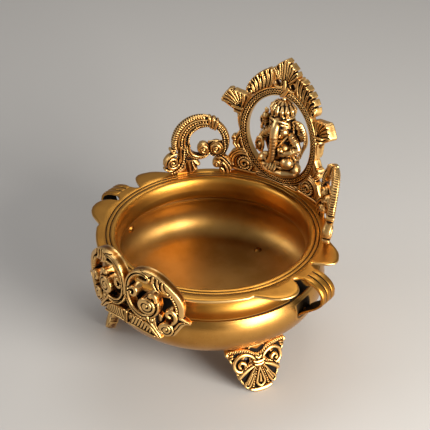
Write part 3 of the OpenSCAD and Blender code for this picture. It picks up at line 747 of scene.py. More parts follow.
def side_left_pearl(r):
    """Left pearl in its milled crescent."""
    r.strip(arc((-1.5, 27.5), 13.0, 168, 322, 40, 11.6), [1.0, 1.5, 1.5, 0.9], rope(1.8, 1.3, 1.7, 0))
    r.strip(arc((-1.2, 27.6), 10.6, 160, 318, 40, 9.4), [0.7, 1.4, 1.5, 0.8], dome(2.6, 1.7))
    r.knob(2.1, 25.6, 6.0, dome(1.6, 3.6), 0.6)
    r.strip(arc((2.1, 25.6), 4.4, 130, -330, 60, 1.0), [1.1, 1.4, 1.2, 0.9], dome(4.0, 1.6), 0.3, True, 3.4)
    r.knob(2.1, 25.6, 1.2, dome(4.8, 1.4), 0.3, True, 3.6)


def side_spiral(r):
    """Bead string round the big lower spiral."""
    r.band([(-15.8, 30), (-16.6, 24), (-17.0, 17.5), (-18.8, 10.5), (-23.5, 4.6), (-29.5, 3.4)],
           [1.1, 1.3, 1.4, 1.4], pearls(2.0, 1.6, 2.5))
    r.band([(-20.2, 30), (-20.5, 23.5), (-20.3, 17.5), (-22.4, 11.6), (-26, 8), (-31, 6.2), (-35.5, 8.6)],
           [1.0, 1.3, 1.4, 1.3], dome(2.2, 1.4))
    r.strip(arc((-28.3, 14.6), 6.3, 330, -240, 60, 1.6), [1.5, 1.6, 1.5, 1.2], dome(2.5, 1.8))
    r.knob(-28.2, 14.6, 1.7, dome(3.1, 1.6))
    r.band([(-24.4, 23.5), (-28, 22.9), (-32, 21), (-35.2, 17), (-35.8, 12.4)], [0.9, 1.3, 1.2, 0.9],
           dome(2.0, 1.3))


def side_bud(r):
    """Bud and the bands that sweep up to the frame."""
    r.fill([(17, -1), (28.5, -1), (28, 5), (25, 10), (20, 14.5), (16, 14)], 1.8)
    r.band([(15.0, 16.2), (20.5, 15.4), (25.4, 10.4), (28.4, 4)], [1.1, 1.5, 1.5, 1.3], dome(2.2, 1.5))
    r.band([(19.6, 11.6), (22.4, 8.8), (24.6, 4.6), (25.4, 0.6)], [1.0, 1.3, 1.3], dome(2.2, 1.5))
    r.band([(18.4, 5.2), (20.6, 3.4), (21.6, 0.4)], [1.0, 1.2, 1.2], dome(2.2, 1.4))
    r.band([(20, 18.6), (25, 14.4), (28.5, 9.4)], [0.9, 1.3, 0.9], pearls(2.0, 1.4, 2.2))
    r.knob(15.1, 9.6, 4.7, dome(1.8, 3.4), 0.6)
    r.strip(arc((15.1, 9.6), 3.3, 160, -200, 50, 1.0), [1.0, 1.3, 1.0], dome(4.0, 1.3), 0.3, True, 3.4)


def side_relief():
    """A side scroll, worked on both faces."""
    r = Relief((-38, -1.2), (31, 63))
    r.fill([(-21, 4), (-13, 16), (-13, 26), (-19, 34), (-22, 26), (-24, 16)], 1.0)
    r.fill([(8, 18), (24, 22), (24, 34), (18, 34), (6, 33)], 0.9)
    for part in (side_leaf, side_arch, side_right_pearl, side_clasp, side_left_pearl, side_spiral,
                 side_bud):
        part(r)
    # the rope's turns show in the outline too
    turn, reach = np.arctan2(r.z - 33, r.s + 1) % (2 * np.pi), np.hypot(r.s + 1, r.z - 33)
    r.mask -= 0.35 * (1 + np.cos(turn * 27.5 * 2 * np.pi / 2.3)) * (turn > 1.45) * (turn < 3.3) * (reach > 23)
    r.mask = np.minimum(r.mask, r.z + 0.2)
    return r


relief = side_relief()
solid = relief.solid(relief.face)
casting("side_casting_left", solid, on_wall(-44.5, 98.75, 1, 0, -1), "side_scroll_left")
casting("side_casting_right", solid, on_wall(49, 101.25, -1, 6, -1), "side_scroll_right")


# ---------------------------------------------------------------- front scrolls
def front_band(r):
    """Outer band over the hook and down the right, with its bead row and tail."""
    r.band([(9, 20.6), (15, 23.2), (21, 24.2), (28, 22.8), (35, 19.0), (42, 12.6), (48.5, 5.0), (52, -3),
            (52.4, -10), (51.2, -14.5)], [0.8, 1.3, 1.7, 2.2, 2.6, 2.9, 3.0, 2.9, 2.6, 2.4], dome(3.6, 1.0))
    r.band([(40.5, 9.6), (45.0, 3.6), (47.6, -2.6), (48.4, -8.6), (47.6, -14.5)], 1.35, pearls(2.8, 1.8, 2.5))
    r.band([(50, -14.4), (55.0, -16.8), (60, -19.0)], [1.9, 1.2, 0.5], dome(2.9, 1.3))
    r.band([(59.6, -19.4), (54.5, -20), (49.6, -26), (45.5, -32.6), (40, -35.2)], [0.6, 1.4, 1.7, 1.5, 1.0],
           dome(2.9, 1.5))
    r.band([(55, -18.2), (50.4, -20.4), (47.4, -25.4), (44.6, -29.6)], [0.6, 1.0, 1.1, 0.8], dome(3.0, 1.2))


def front_leaf(r):
    """Leaf and its second lobe at the top."""
    r.band([(28.4, 22.0), (27.8, 18.0), (29.4, 12.6), (32.8, 8.6)], [1.6, 3.2, 3.2, 0.8], gabled(2.8, 1.9))
    r.band([(32.0, 20.4), (32.0, 16), (33.8, 12.0), (36.6, 9.0)], [1.4, 2.4, 2.4, 0.8], gabled(2.8, 1.7))
    r.band([(36.4, 18.0), (36.4, 13.6), (38.4, 10), (41.4, 8.0)], [1.4, 2.5, 2.3, 0.8], gabled(2.8, 1.7))


def front_hook(r):
    """The hooked band, doubled, round and into the large spiral."""
    whole = flowing([(24, 19.2), (20.2, 22.2), (14, 21.9), (7.6, 17.2), (3.4, 9.5), (1.9, 0), (2.6, -9),
                     (6.6, -16.4), (13.2, -20.6), (20.6, -21.2), (27.4, -17.2), (31.0, -10.6), (30.6, -3.4),
                     (26.8, 1.2)])
    r.strip(whole, [1.4, 2.2, 2.6, 2.6, 2.6, 2.5, 2.5, 2.6, 2.6, 2.5], ribbed(3.2, 1.9, 2))
    r.strip(whole[4:-8], 0.5, trough(1.4), 0, False)
    r.band([(24.2, 18.6), (22.6, 15.4), (18.6, 15.6), (14.2, 16.6)], [1.5, 1.4, 0.9], dome(3.4, 1.6))
    r.band([(0.2, -8), (3.2, -15.4), (8.8, -21.6), (15, -24.2), (20.5, -24.6)], [0.8, 1.1, 1.2, 1.0],
           pearls(3.0, 1.6, 2.0))
    r.band([(24.4, -1.0), (26.4, 2.6), (29.2, 2.0), (31.0, -2.4)], [2.2, 2.6, 2.5, 1.6], dome(3.6, 1.8))
    r.knob(22.7, -7.9, 8.0, flat(7.6), 0.6)
    r.strip(arc((22.7, -7.9), 6.4, 75, -430, 110, 1.5), [0.6, 0.6, 0.5], trough(6.0), 0, False)


def front_bud(r):
    """Bud."""
    r.band([(5.0, 2.6), (8.4, 4.6), (11.2, 2.2), (10.6, -1.8), (7.4, -3.4), (5.2, -1.2)],
           [1.2, 1.9, 2.0, 1.6], dome(3.4, 1.6))
    r.strip([(8.2, 0.4), (8.0, -1.0)], 0.8, dome(2.0, 0.2))


def front_bulb(r):
    """Small spiral and the bulb above it."""
    r.knob(38.9, -28.8, 6.8, flat(5.2), 0.6)
    r.strip(arc((38.9, -28.8), 5.2, 60, -430, 90, 1.3), [0.55, 0.55, 0.45], trough(3.6), 0, False)
    r.band([(44.6, -21.5), (47.4, -17.6), (47.2, -12.6), (44.4, -9.2), (41.0, -9.8), (40.4, -13.4),
            (42.4, -15.2)], [1.4, 1.9, 2.0, 1.9, 1.5], dome(3.5, 1.9))


def front_knot(r):
    """Knot above the leaf."""
    r.band([(22, -21), (24.4, -24.4), (28, -25.6)], [1.2, 1.6, 1.2], dome(3.4, 1.8))
    r.band([(28.5, -20.6), (28.8, -25), (30.4, -29.6), (34.4, -34.6)], [1.0, 1.6, 1.4, 1.2],
           ribbed(3.2, 1.6, 2))
    r.strip([(26.2, -22.4), (26.5, -22.6)], 1.8, dome(3.6, 2.0))


def front_relief():
    """A front scroll; the left one is its mirror image."""
    r = Relief((-3.5, -41.5), (63, 29), 2.4)
    # web behind the bands
    r.fill([(21, 22), (29, 23), (37, 20), (36, 15), (27, 13), (23, 16)], 2.6)
    r.fill([(28, -12), (35, -18), (34, -26), (26, -24), (22, -22)], 2.0)
    r.fill([(46, -14), (56, -18), (52, -22), (46, -32), (41, -26), (44, -20)], 2.4)
    for part in (front_band, front_leaf, front_hook, front_bud, front_bulb, front_knot):
        part(r)
    return r


FRONT_BACK = 4.4        # depth of the back of the front castings
relief = front_relief()
solid = relief.solid(FRONT_BACK - np.clip((relief.s - 50) * 0.36, 0, 3.4))
casting("front_casting_right", solid, on_wall(FRONT, FRONT_R, -1), "front_scroll_right")
casting("front_casting_left", solid, on_wall(FRONT, FRONT_R, 1), "front_scroll_left")


def leaf_relief():
    """The leaf that bridges the front scrolls."""
    r = Relief((-36, -42), (36, -21), 2.4)
    for side in (-1, 1):
        r.side = side
        r.band([(0, -30.4), (10, -31), (20, -32.6), (29, -36.4), (34.4, -39.2)], [4.6, 4.9, 4.6, 3.0, 1.2],
               dome(2.2, 1.2))
        for x in np.arange(3.5, 27, 3.1):
            r.strip(curve((x - 1.6, -34.8 - x * 0.10), (x, -33.2), (x + 1.6, -30), (x + 2.0, -27.4), 6),
                    [0.8, 1.5, 1.35], dome(2.9, 1.3), 0.12, False, 3.1)
        r.band([(0, -36.2), (10, -36.6), (20, -38), (28, -39.8)], 0.95, dome(3.0, 1.3))
        r.band([(20, -27), (25.4, -30.8), (29.4, -35), (33.6, -39.2)], [1.0, 1.5, 1.4, 0.9], dome(3.6, 1.6))
        r.band([(24.6, -25.4), (28.4, -30), (32.4, -35.4), (34.4, -38.8)], [1.0, 1.3, 1.2, 0.8],
               dome(3.5, 1.5))
    r.side = 1
    r.strip([(0, -36), (0, -25.4)], [1.6, 2.2, 1.6], ribbed(3.4, 1.6, 3))
    return r


casting("front_bridge_leaf", leaf_relief().solid(FRONT_BACK), on_wall(FRONT, FRONT_R, 1), "front_leaf")


# ---------------------------------------------------------------- frame, crest and fans
BACK = 3.4              # depth of the back of the ring and the volutes


def ring_line(grow, a, b, n=120):
    """Part of the oval ring, that much bigger, between two angles in degrees."""
    t = np.radians(np.linspace(a, b, n))
    return np.stack([(OVAL_HALF[0] + grow) * np.cos(t), OVAL_Z + (OVAL_HALF[1] + grow) * np.sin(t)], 1)


def outside_ring(relief):
    """Cuts off what lies inside the oval ring."""
    across, up = relief.s / OVAL_HALF[0], (relief.z - OVAL_Z) / OVAL_HALF[1]
    relief.mask = np.minimum(relief.mask, (np.hypot(across, up) - 1) * OVAL_HALF[0] - 0.05)


def framed(name, solid, replaced, flip=1):
    """A casting on the frame's wall, its side faces made bright: rubbed edges and a painted highlight. flip:
    how it is scaled sideways.
    """
    points, quads, patina_and_shade = solid
    s, z, d = points.T
    points = on_frame(flip * s, z, d)
    depthwise = points[:, :2] / np.linalg.norm(points[:, :2], axis=1)[:, None]
    facing = np.abs((normals_of(points, outward(points, quads))[:, :2] * depthwise).sum(1))
    # painted highlight and rubbed edges: faces that do not face outwards are brightened
    rubbed_and_lit_sides = 0.85 * np.clip(1 - 2 * facing, 0, 1)
    piece(name, points, quads, CAST, [replaced], patina_and_shade - rubbed_and_lit_sides)


def ring_relief():
    """The oval ring and its foot on the rim."""
    r = Relief((-47, -1.5), (47, 100), 1.8)
    r.strip([(-22, 2.4), (22, 2.4)], 3.2, ribbed(2.4, 1.0, 3))
    r.strip(ring_line(-4, 90, 450, 200), 4.0, braided(2.3, 1.5, 5.6))
    r.strip(curve((-3.4, 89.2), (0, 91), (2, 95), (4.6, 98.2), 10), [1.2, 2.0, 2.0, 1.2], dome(3.2, 1.2))
    r.mask = np.minimum(r.mask, r.z + 0.2)
    return r


framed("oval_ring", ring_relief().solid(BACK), "figure_frame")


def crest_relief():
    """The fan at the top of the ring."""
    r = Relief((-16, 88), (16, 128), 1.8)
    half = [(0, 126), (3, 124.2), (10.4, 118.2), (13.4, 113.2), (12.6, 105), (12.2, 99), (9, 94.4)]
    r.fill(half + [(-s, z) for s, z in half[::-1]], 1.6)
    for x in np.linspace(-1, 1, 10):
        side = 1 if x > 0 else -1
        tip = (13.4 * x, 126.5 - 12.6 * abs(x))
        r.strip(curve((side * 1.4 + 2.5 * x, 104), (side + 7 * x, 109 - 2 * abs(x)),
                      (11.5 * x, 116 - 5 * abs(x)), tip, 10), [0.6, 1.1, 1.25, 1.2], dome(2.0, 1.3), 0.5,
                False)
    r.band([(-12.6, 97.2), (-6, 96.8), (0, 99), (6, 96.8), (12.6, 97.2)], [1.3, 1.5, 1.8, 1.5, 1.3],
           dome(2.2, 1.5), 0.5, False)
    r.strip([(0, 97), (0, 104.6)], [2.0, 2.4, 1.6], dome(2.4, 1.8), 0.5, False)
    for side in (-1, 1):
        r.hole((side * 8.0, 101.2), (3.0, 2.8))
        for a, b in (((4.6, 126), (3.2, 120.2)), ((12.6, 119.6), (8.8, 114.6))):
            r.notch((side * a[0], a[1]), (side * b[0], b[1]), 0.8)
    return r


framed("crest_fan", crest_relief().solid(5.4, 0.4), "crest_finial")


def crest_leaf_relief():
    """The leaf on the right of the crest."""
    r = Relief((10, 76), (43, 116), 1.7)
    r.fill([*flowing([(14.4, 94), (13.2, 103), (14.0, 111.2), (18.4, 111.6), (23.6, 108.4), (29.2, 103.9),
                      (34.2, 98.6), (38.0, 92.6), (39.6, 87.2), (38.0, 83.0), (34.6, 81.2)]),
            *ring_line(-0.6, 44, 71, 12)], 1.6)
    for root, tip in (((15.8, 95.5), (15.0, 112)), ((19.0, 94), (20.6, 111)), ((22.4, 92.4), (25.8, 107.4)),
                      ((25.8, 90.2), (30.6, 103.2)), ((29.0, 87.8), (34.8, 98.4)),
                      ((31.8, 85.6), (38.0, 92.4))):
        mid = ((root[0] + tip[0]) / 2, (root[1] + tip[1]) / 2)
        r.strip(curve(root, (mid[0] - 2.6, mid[1] - 1.5), (mid[0] - 1.0, mid[1] + 4.5), tip, 10),
                [1.0, 1.5, 1.7, 2.0], ribbed(1.9, 1.5, 2), 0.6, False)
    r.strip(arc((36.0, 85.2), 3.9, 80, -220, 40, 1.2), [1.4, 1.4, 1.1], dome(2.1, 1.7), 0.6, False)
    for a, b in (((17.9, 113), (17.5, 107.6)), ((24.0, 110), (22.4, 104.6)), ((29.4, 105.4), (27.4, 100.4)),
                 ((34.4, 100), (31.8, 95.6)), ((38.8, 93.4), (35.4, 90.2))):
        r.notch(a, b, 0.85)
    return r


solid = crest_leaf_relief().solid(5.8, 0.4)
framed("crest_side_right", solid, "crest_leaf_right", 0.975)
framed("crest_side_left", solid, "crest_leaf_left", -1)


def fan_relief():
    """The fan on the right of the ring, before its notches."""
    r = Relief((34, 28), (65, 87), 1.8)
    r.fill([(36.5, 37), (42.0, 38), (45.5, 47), (46.4, 58), (50.6, 62.6), (55.6, 65.4), (61.6, 69.8),
            (62.2, 72.2), (59.4, 77.2), (56.0, 82.4), (53.6, 83.2), (46.4, 81.4), (38.6, 80.0), (35.4, 78.4),
            (40, 66)], 1.6)
    r.band([(39.0, 38.5), (42.8, 46), (44.4, 53), (44.8, 58)], [1.4, 1.7, 2.2], dome(1.8, 1.5), 0.5, False)
    for a, reach in ((6, 20), (19, 19.6), (32, 19.4), (46, 18.4), (61, 15.6), (78, 13), (96, 12.4)):
        turn, bent = math.radians(a), math.radians(a + 13)
        spine = [(43.4 + f * reach * math.cos(bent), 66.4 + f * reach * math.sin(bent))
                 for f in (0, 0.35, 0.7)]
        tip = (43.4 + reach * math.cos(turn), 68.4 + reach * math.sin(turn))
        r.strip(curve(*spine, tip, 8), [0.6, 1.1, 1.5, 1.8], dome(1.9, 1.5), 0.6, False)
    r.band([(37.6, 66.0), (43.6, 65.2), (51.0, 67.0)], 1.6, dome(2.8, 2.0), 0.6, True)
    r.band([(38.6, 61.8), (43.8, 61.2), (49.0, 62.2)], 1.4, dome(2.6, 1.8), 0.6, True)
    outside_ring(r)
    return r


fan = fan_relief()
framed("side_fan_right", fan.solid(5.8, 0.4), "frame_fan_right", 0.975)
for a, b in (((62.4, 73.6), (59.6, 72.4)), ((59.6, 79.4), (56.8, 77.0)), ((52.0, 84.4), (51.2, 80.8))):
    fan.notch(a, b, 0.4)
framed("side_fan_left", fan.solid(5.8, 0.4), "frame_fan_left", -1)


def volute_relief():
    """The volute at the right foot of the ring."""
    r = Relief((20, -1.5), (60, 46), 1.8)
    r.fill([(22, -1), (56, -1), (55, 10), (50, 20), (40, 24), (32, 21), (26, 12)], 2.4)
    r.fill([(36, 22), (46, 22), (50.0, 27), (49.4, 34), (46.0, 38), (42.6, 43.6), (39, 40)], 2.2)
    for grow in (15.2, 12.9, 10.6):
        r.strip(arc((38.0, 9.0), grow, 190 - grow, -20, 40), [1.0, 1.3, 1.35, 1.2], dome(2.3, 1.5), 0.35,
                False)
    r.band([(45.4, 25.2), (48.0, 29.0), (47.4, 34.0), (44.6, 38.6), (42.4, 43.0)], [1.2, 1.5, 1.5, 1.2],
           dome(2.6, 1.6))
    r.band([(42.6, 25.4), (44.6, 29.0), (44.0, 33.0), (42.0, 37.0)], [1.0, 1.3, 1.2, 1.0], dome(2.4, 1.5))
    r.strip(arc((48.2, 34.2), 2.0, -120, 200, 20, 0.8), [1.4, 1.1], dome(2.8, 1.5))
    r.strip(arc((36.8, 9.4), 8.0, 285, -190, 80, 4.6), [1.4, 1.5, 1.5, 1.4], pearls(2.6, 1.7, 2.3), 0.4)
    r.strip(arc((36.8, 9.4), 4.4, 170, -170, 40, 1.2), [1.5, 1.4, 1.1], dome(3.0, 1.8), 0.35)
    r.strip([(25, 1.3), (55, 1.3)], 1.5, dome(2.0, 1.0))
    outside_ring(r)
    r.mask = np.minimum(r.mask, r.z + 0.2)
    return r


solid = volute_relief().solid(BACK)
framed("foot_volute_right", solid, "frame_volute_right")
framed("foot_volute_left", solid, "frame_volute_left", -1)


# ---------------------------------------------------------------- feet
def foot_relief():
    """The palmette plate of a foot."""
    r = Relief((-33, -1.2), (33, 45.5), 1.5)
    half = [(0, 0), (7, 0.3), (12.4, 4), (17.5, 11.5), (21, 20), (24.6, 28.5), (28.5, 34.5), (30.6, 39.6),
            (22, 41.2), (12, 40.6), (5, 37.6), (0, 35.6)]
    r.fill(half + [(-s, z) for s, z in half[-2:0:-1]], 1.8)
    for side in (-1, 1):
        r.side = side
        r.hole((side * 10.2, 30.6), (3.6, 3.2))
        # edge of the plate
        r.band([(12.6, 4.6), (17.2, 11.8), (20.8, 20), (24.2, 28.5), (28.2, 35)], 1.0, dome(2.4, 1.0), 0.3)
        # roped arch and the ribs at its corner
        r.band([(0.5, 34.4), (4.5, 35.6), (9.5, 38.8), (16, 40.6), (23, 40.6), (30, 40.0)],
               [1.6, 1.9, 1.9, 1.8, 1.5, 1.3], rope(2.4, 1.7, 2.3, 0.2))
        r.band([(24.4, 37.8), (28.8, 36.8)], 0.8, dome(2.6, 1.5), 0.3)
        r.band([(24.6, 35.4), (27.8, 34.4)], 0.8, dome(2.6, 1.4), 0.3)
        r.strip([(29.6, 38.4), (30.0, 39.0)], 1.9, dome(2.6, 1.9))
        # smooth scroll over the hole, winding into the spiral
        r.band([(3.0, 28.2), (5.0, 32.6), (9.4, 36.0), (15.2, 37.0), (20.6, 34.6), (23.2, 29.6), (22.2, 24.2),
                (17.8, 21.4), (13.6, 23.6), (13.2, 28.0), (16.6, 30.0), (19.0, 27.4), (17.6, 25.2)],
               [1.4, 1.5, 1.6, 1.6, 1.7, 1.7, 1.6, 1.3, 1.1], dome(2.7, 1.9))
        # stacked lobes beside the collar
        r.strip(curve((6.2, 26.6), (10, 26.6), (13, 24.6), (15, 21.0), 8), [0.8, 1.3, 1.2],
                pearls(2.4, 1.5, 2.2))
        r.strip(curve((5.6, 24.8), (10, 23), (15.5, 19.5), (19.0, 15.6), 8), [0.9, 1.7, 2.1, 1.7],
                dome(2.6, 1.9))
        # looped petal, and the beaded line on either side of it
        r.band([(3.2, 25.4), (7.6, 19.0), (12.4, 11.4), (14.4, 8.4), (12.6, 6.0), (10.0, 7.6), (7.0, 13.6),
                (4.0, 20.0), (2.6, 24.6)], [0.9, 1.1, 1.2, 1.2, 1.1, 0.8], dome(2.8, 1.9), 0.4)
        r.strip([(7.0, 17.6), (12.0, 8.8)], [0.7, 1.1], dome(3.2, 1.2), 0.3)
        r.strip([(1.8, 24.4), (7.4, 5.4)], [0.8, 1.1], pearls(2.4, 1.6, 2.3), 0.4)
    # centre loop, its drop, and the toe
    r.side = 1
    r.band([(0.5, 24.6), (-2.4, 15), (-3.6, 8.6), (0, 5.2), (3.6, 8.6), (2.4, 15), (-0.5, 24.6)],
           [0.9, 1.1, 1.3, 1.3, 1.3, 1.1, 0.9], dome(2.8, 2.0), 0.4)
    r.strip([(0, 16.5), (0, 9.6)], [0.6, 1.5], dome(3.0, 1.8), 0.3)
    r.band([(-9.4, 3.6), (-5, 2.2), (0, 1.9), (5, 2.2), (9.4, 3.6)], [1.5, 2.1, 2.4, 2.1, 1.5],
           dome(2.8, 2.3))
    # collar
    r.band([(-5.0, 29.8), (-2.6, 28.4), (2.6, 28.4), (5.0, 29.8)], [1.1, 1.6, 1.1], dome(3.0, 2.0))
    r.band([(-4.2, 26.6), (-2, 25.6), (2, 25.6), (4.2, 26.6)], [1.0, 1.4, 1.0], dome(3.0, 1.9))
    r.band([(-2.6, 33.4), (0, 31.6), (2.6, 33.4)], [1.0, 1.5, 1.0], dome(2.8, 1.8))
    r.mask = np.minimum(r.mask, r.z)
    return r


def foot_radius(z, d):
    """Distance from the bowl's axis at a height and depth of a foot."""
    return FOOT_MID - FOOT_SLOPE * z + d


def foot_block(s, z, d, field):
    """The block behind a foot that bears on the bowl, trimmed to the belly."""
    block = np.minimum(np.minimum(8 - np.abs(s), z - 27), np.minimum(d + 19, 1.0 - d))
    block = soft_min(block, (d + 19) * 0.8 + (z - 27) * 0.5 - 3, 1.5)
    field = soft_max(field, block, 1.5)
    to_belly = np.hypot(foot_radius(z, d) - BELLY[0], np.maximum(BELLY[1] - z, 0)) - BELLY_R
    return np.minimum(field, to_belly)


def on_foot(bearing):
    """A place on the leaning wall of the foot at that bearing."""
    def place(s, z, d):
        r, a = foot_radius(z, d), math.radians(bearing) + s / FOOT_CURVE
        return np.stack([r * np.sin(a), r * np.cos(a), z], 1)
    return place


def foot():
    """A foot's plate and block, cut flat at the floor."""
    plate = foot_relief()
    relief = Relief(plate.low, (33, 52))            # taller, for the block
    relief.mask[:, :plate.mask.shape[1]] = plate.mask
    relief.face[:, :plate.mask.shape[1]] = plate.face
    start = -21.0
    d = np.arange(start, 7, STEP)
    field = foot_block(relief.s[:, :, None], relief.z[:, :, None], d, relief.field(d, 3.9))
    points, quads, patina_and_shade = meshed(field, (*relief.low, start))
    points[:, 1] = np.maximum(points[:, 1], 0)
    return points, quads, patina_and_shade


solid = foot()
for where, bearing in (("back", -4), ("front_right", 116), ("front_left", 236)):
    casting("palmette_" + where, solid, on_foot(bearing), "foot_" + where)


# ---------------------------------------------------------------- seated figure
class Solid:
    """A body built on a grid from soft-joined limbs and balls; the field is positive inside."""

    def __init__(self, low, high):
        self.low = np.array(low, float)
        self.axes = [np.arange(a, b, STEP) for a, b in zip(low, high)]
        self.field = np.full([len(a) for a in self.axes], -4.0)

    def zone(self, low, high):
        """The part of the grid between two corners, and its x, y and z."""
        cut = [slice(*np.clip(((np.array([a, b]) - c) / STEP).astype(int) + [0, 2], 0, None))
               for a, b, c in zip(low, high, self.low)]
        x, y, z = (a[c] for a, c in zip(self.axes, cut))
        return tuple(cut), x[:, None, None], y[None, :, None], z[None, None, :]

    def join(self, cut, new, soft):
        old = self.field[cut]
        self.field[cut] = soft_max(old, new, soft) if soft > 0 else np.minimum(old, -new)

    def tube(self, line, radii, soft=0.8):
        """A tube along a line. soft: how far it melts into its neighbours; 0 cuts it out."""
        line = np.asarray(line, float)
        radii = np.interp(np.linspace(0, 1, len(line)), np.linspace(0, 1, np.size(radii)), np.ravel(radii))
        reach = radii.max() + 2
        cut, x, y, z = self.zone(line.min(0) - reach, line.max(0) + reach)
        new = np.full(np.broadcast_shapes(x.shape, y.shape, z.shape), -4.0)
        for p, q, a, b in zip(line, line[1:], radii, radii[1:]):
            e = q - p
            t = np.clip(((x - p[0]) * e[0] + (y - p[1]) * e[1] + (z - p[2]) * e[2]) / max(e @ e, 1e-9), 0, 1)
            gap = np.sqrt((x - p[0] - t * e[0]) ** 2 + (y - p[1] - t * e[1]) ** 2 +
                          (z - p[2] - t * e[2]) ** 2)
            new = np.maximum(new, a + (b - a) * t - gap)
        self.join(cut, new, soft)

    def ball(self, centre, radii, soft=0.8, turn=0.0):
        """An ellipsoid, turned about Z by turn degrees."""
        centre, radii = np.array(centre, float), np.broadcast_to(np.array(radii, float), 3)
        reach = radii.max() + 2
        cut, x, y, z = self.zone(centre - reach, centre + reach)
        x, y, z = x - centre[0], y - centre[1], z - centre[2]
        c, s = math.cos(math.radians(turn)), math.sin(math.radians(turn))
        x, y = x * c + y * s, y * c - x * s
        k0 = np.sqrt((x / radii[0]) ** 2 + (y / radii[1]) ** 2 + (z / radii[2]) ** 2)
        k1 = np.sqrt((x / radii[0] ** 2) ** 2 + (y / radii[1] ** 2) ** 2 + (z / radii[2] ** 2) ** 2)
        self.join(cut, k0 * (1 - k0) / np.maximum(k1, 1e-6), soft)

    def beads(self, line, radius, pitch, soft=0.3):
        """Balls along a line."""
        line = np.asarray(line, float)
        run = np.concatenate([[0], np.cumsum(np.linalg.norm(np.diff(line, axis=0), axis=1))])
        for t in np.arange(0, run[-1] + 1e-6, pitch):
            self.ball([np.interp(t, run, line[:, k]) for k in range(3)], radius, soft)


def circle(centre, radius, n=36, tilt=0.0):
    """A level ring, or one that rises with y where tilt is given."""
    t = np.radians(np.linspace(0, 360, n))
    x, y = radius * np.cos(t), radius * np.sin(t)
    return np.stack([centre[0] + x, centre[1] + y, centre[2] + y * tilt], 1)


def legs(f):
    """Crossed legs, cloth and seat."""
    f.ball((0, -2, 1.5), (19, 12, 3.4), 1)
    f.tube([(-7, 3, 9), (7, 3, 9)], 8, 2)
    for side in (-1, 1):
        f.tube([(side * 6, 0, 8.5), (side * 16.5, -5, 9)], [7.4, 6.2], 1.5)
        f.ball((side * 17, -6, 9), (6.0, 5.6, 6.0), 1)
    f.tube([(17, -8, 6), (9, -13, 4.6), (-3, -15, 4.4)], [4.8, 4.2, 3.0], 0.8)
    f.tube([(-17, -7, 6), (-9, -12, 4.4), (2, -12, 3.4)], [4.8, 4.0, 3.0], 0.8)
    f.ball((-7, -15.4, 5), (4.4, 2.4, 2.8), 0.6, -8)
    f.beads([(-10.8, -15.6, 3.6), (-10.8, -15.2, 6.4)], 1.0, 1.4)
    f.tube([(1, -13.6, 10.2), (8, -14.8, 11.4), (15, -12.6, 13.6)], [0.9, 1.2, 0.9], 0.2)


def knee(f):
    """The bent knee, with folds of cloth over it."""
    f.ball((12.6, -11.6, 17.0), (6.3, 6.0, 6.2), 0.5)
    for k in range(4):
        ring = circle((0, 0, 0), 6.2 - 0.3 * k, 24)
        f.tube(np.stack([14.6 + 1.5 * k + 0.5 * ring[:, 0], -9.4 + 1.4 * k + ring[:, 0] * 0.5,
                         20 + 1.3 * k + ring[:, 1] * 0.8], 1), 0.75, 0.2)


def torso(f):
    """Belly, chest, and the waistband with its pleats."""
    f.ball((0.5, -4, 24), (12.4, 10.8, 11.4), 2)
    f.ball((0, 0, 36), (11.4, 8.2, 9.4), 2)
    f.tube([(0.4, -13.4, 20), (0.5, -13.6, 20)], 0.9, 0)
    waist = [(13.0 * math.cos(t), -3 + 11.2 * math.sin(t), 14 - 1.5 * math.sin(t))
             for t in np.linspace(-2.9, -0.2, 30)]
    f.tube(waist, 1.3, 0.3)
    f.beads([(p[0], p[1] - 0.6, p[2] - 1.8) for p in waist], 0.9, 2.1)
    for x in (-6.4, -3.6, -0.8, 2.0):
        f.tube([(x, -14.4, 12), (x - 0.6, -15.8, 7.6), (x - 0.2, -16.2, 4.4)], [0.9, 1.3, 1.2], 0.15)


def thread(f):
    """Sacred thread and necklaces."""
    f.tube([(9.4, -6.0, 43), (6.4, -10.4, 37), (2.2, -13.2, 30), (-4, -13.6, 23), (-10, -9.6, 17)], 1.0, 0.1)
    f.tube([(10.9, -5.6, 42), (8.0, -10.4, 36), (3.8, -13.6, 29), (-2.4, -14.4, 22)], 0.6, 0)
    f.beads([(-8.6, -5.6, 41), (-5.2, -9.0, 37), (0, -10.6, 34.6), (5.2, -9.0, 37), (8.6, -5.6, 41)], 0.95,
            1.8)


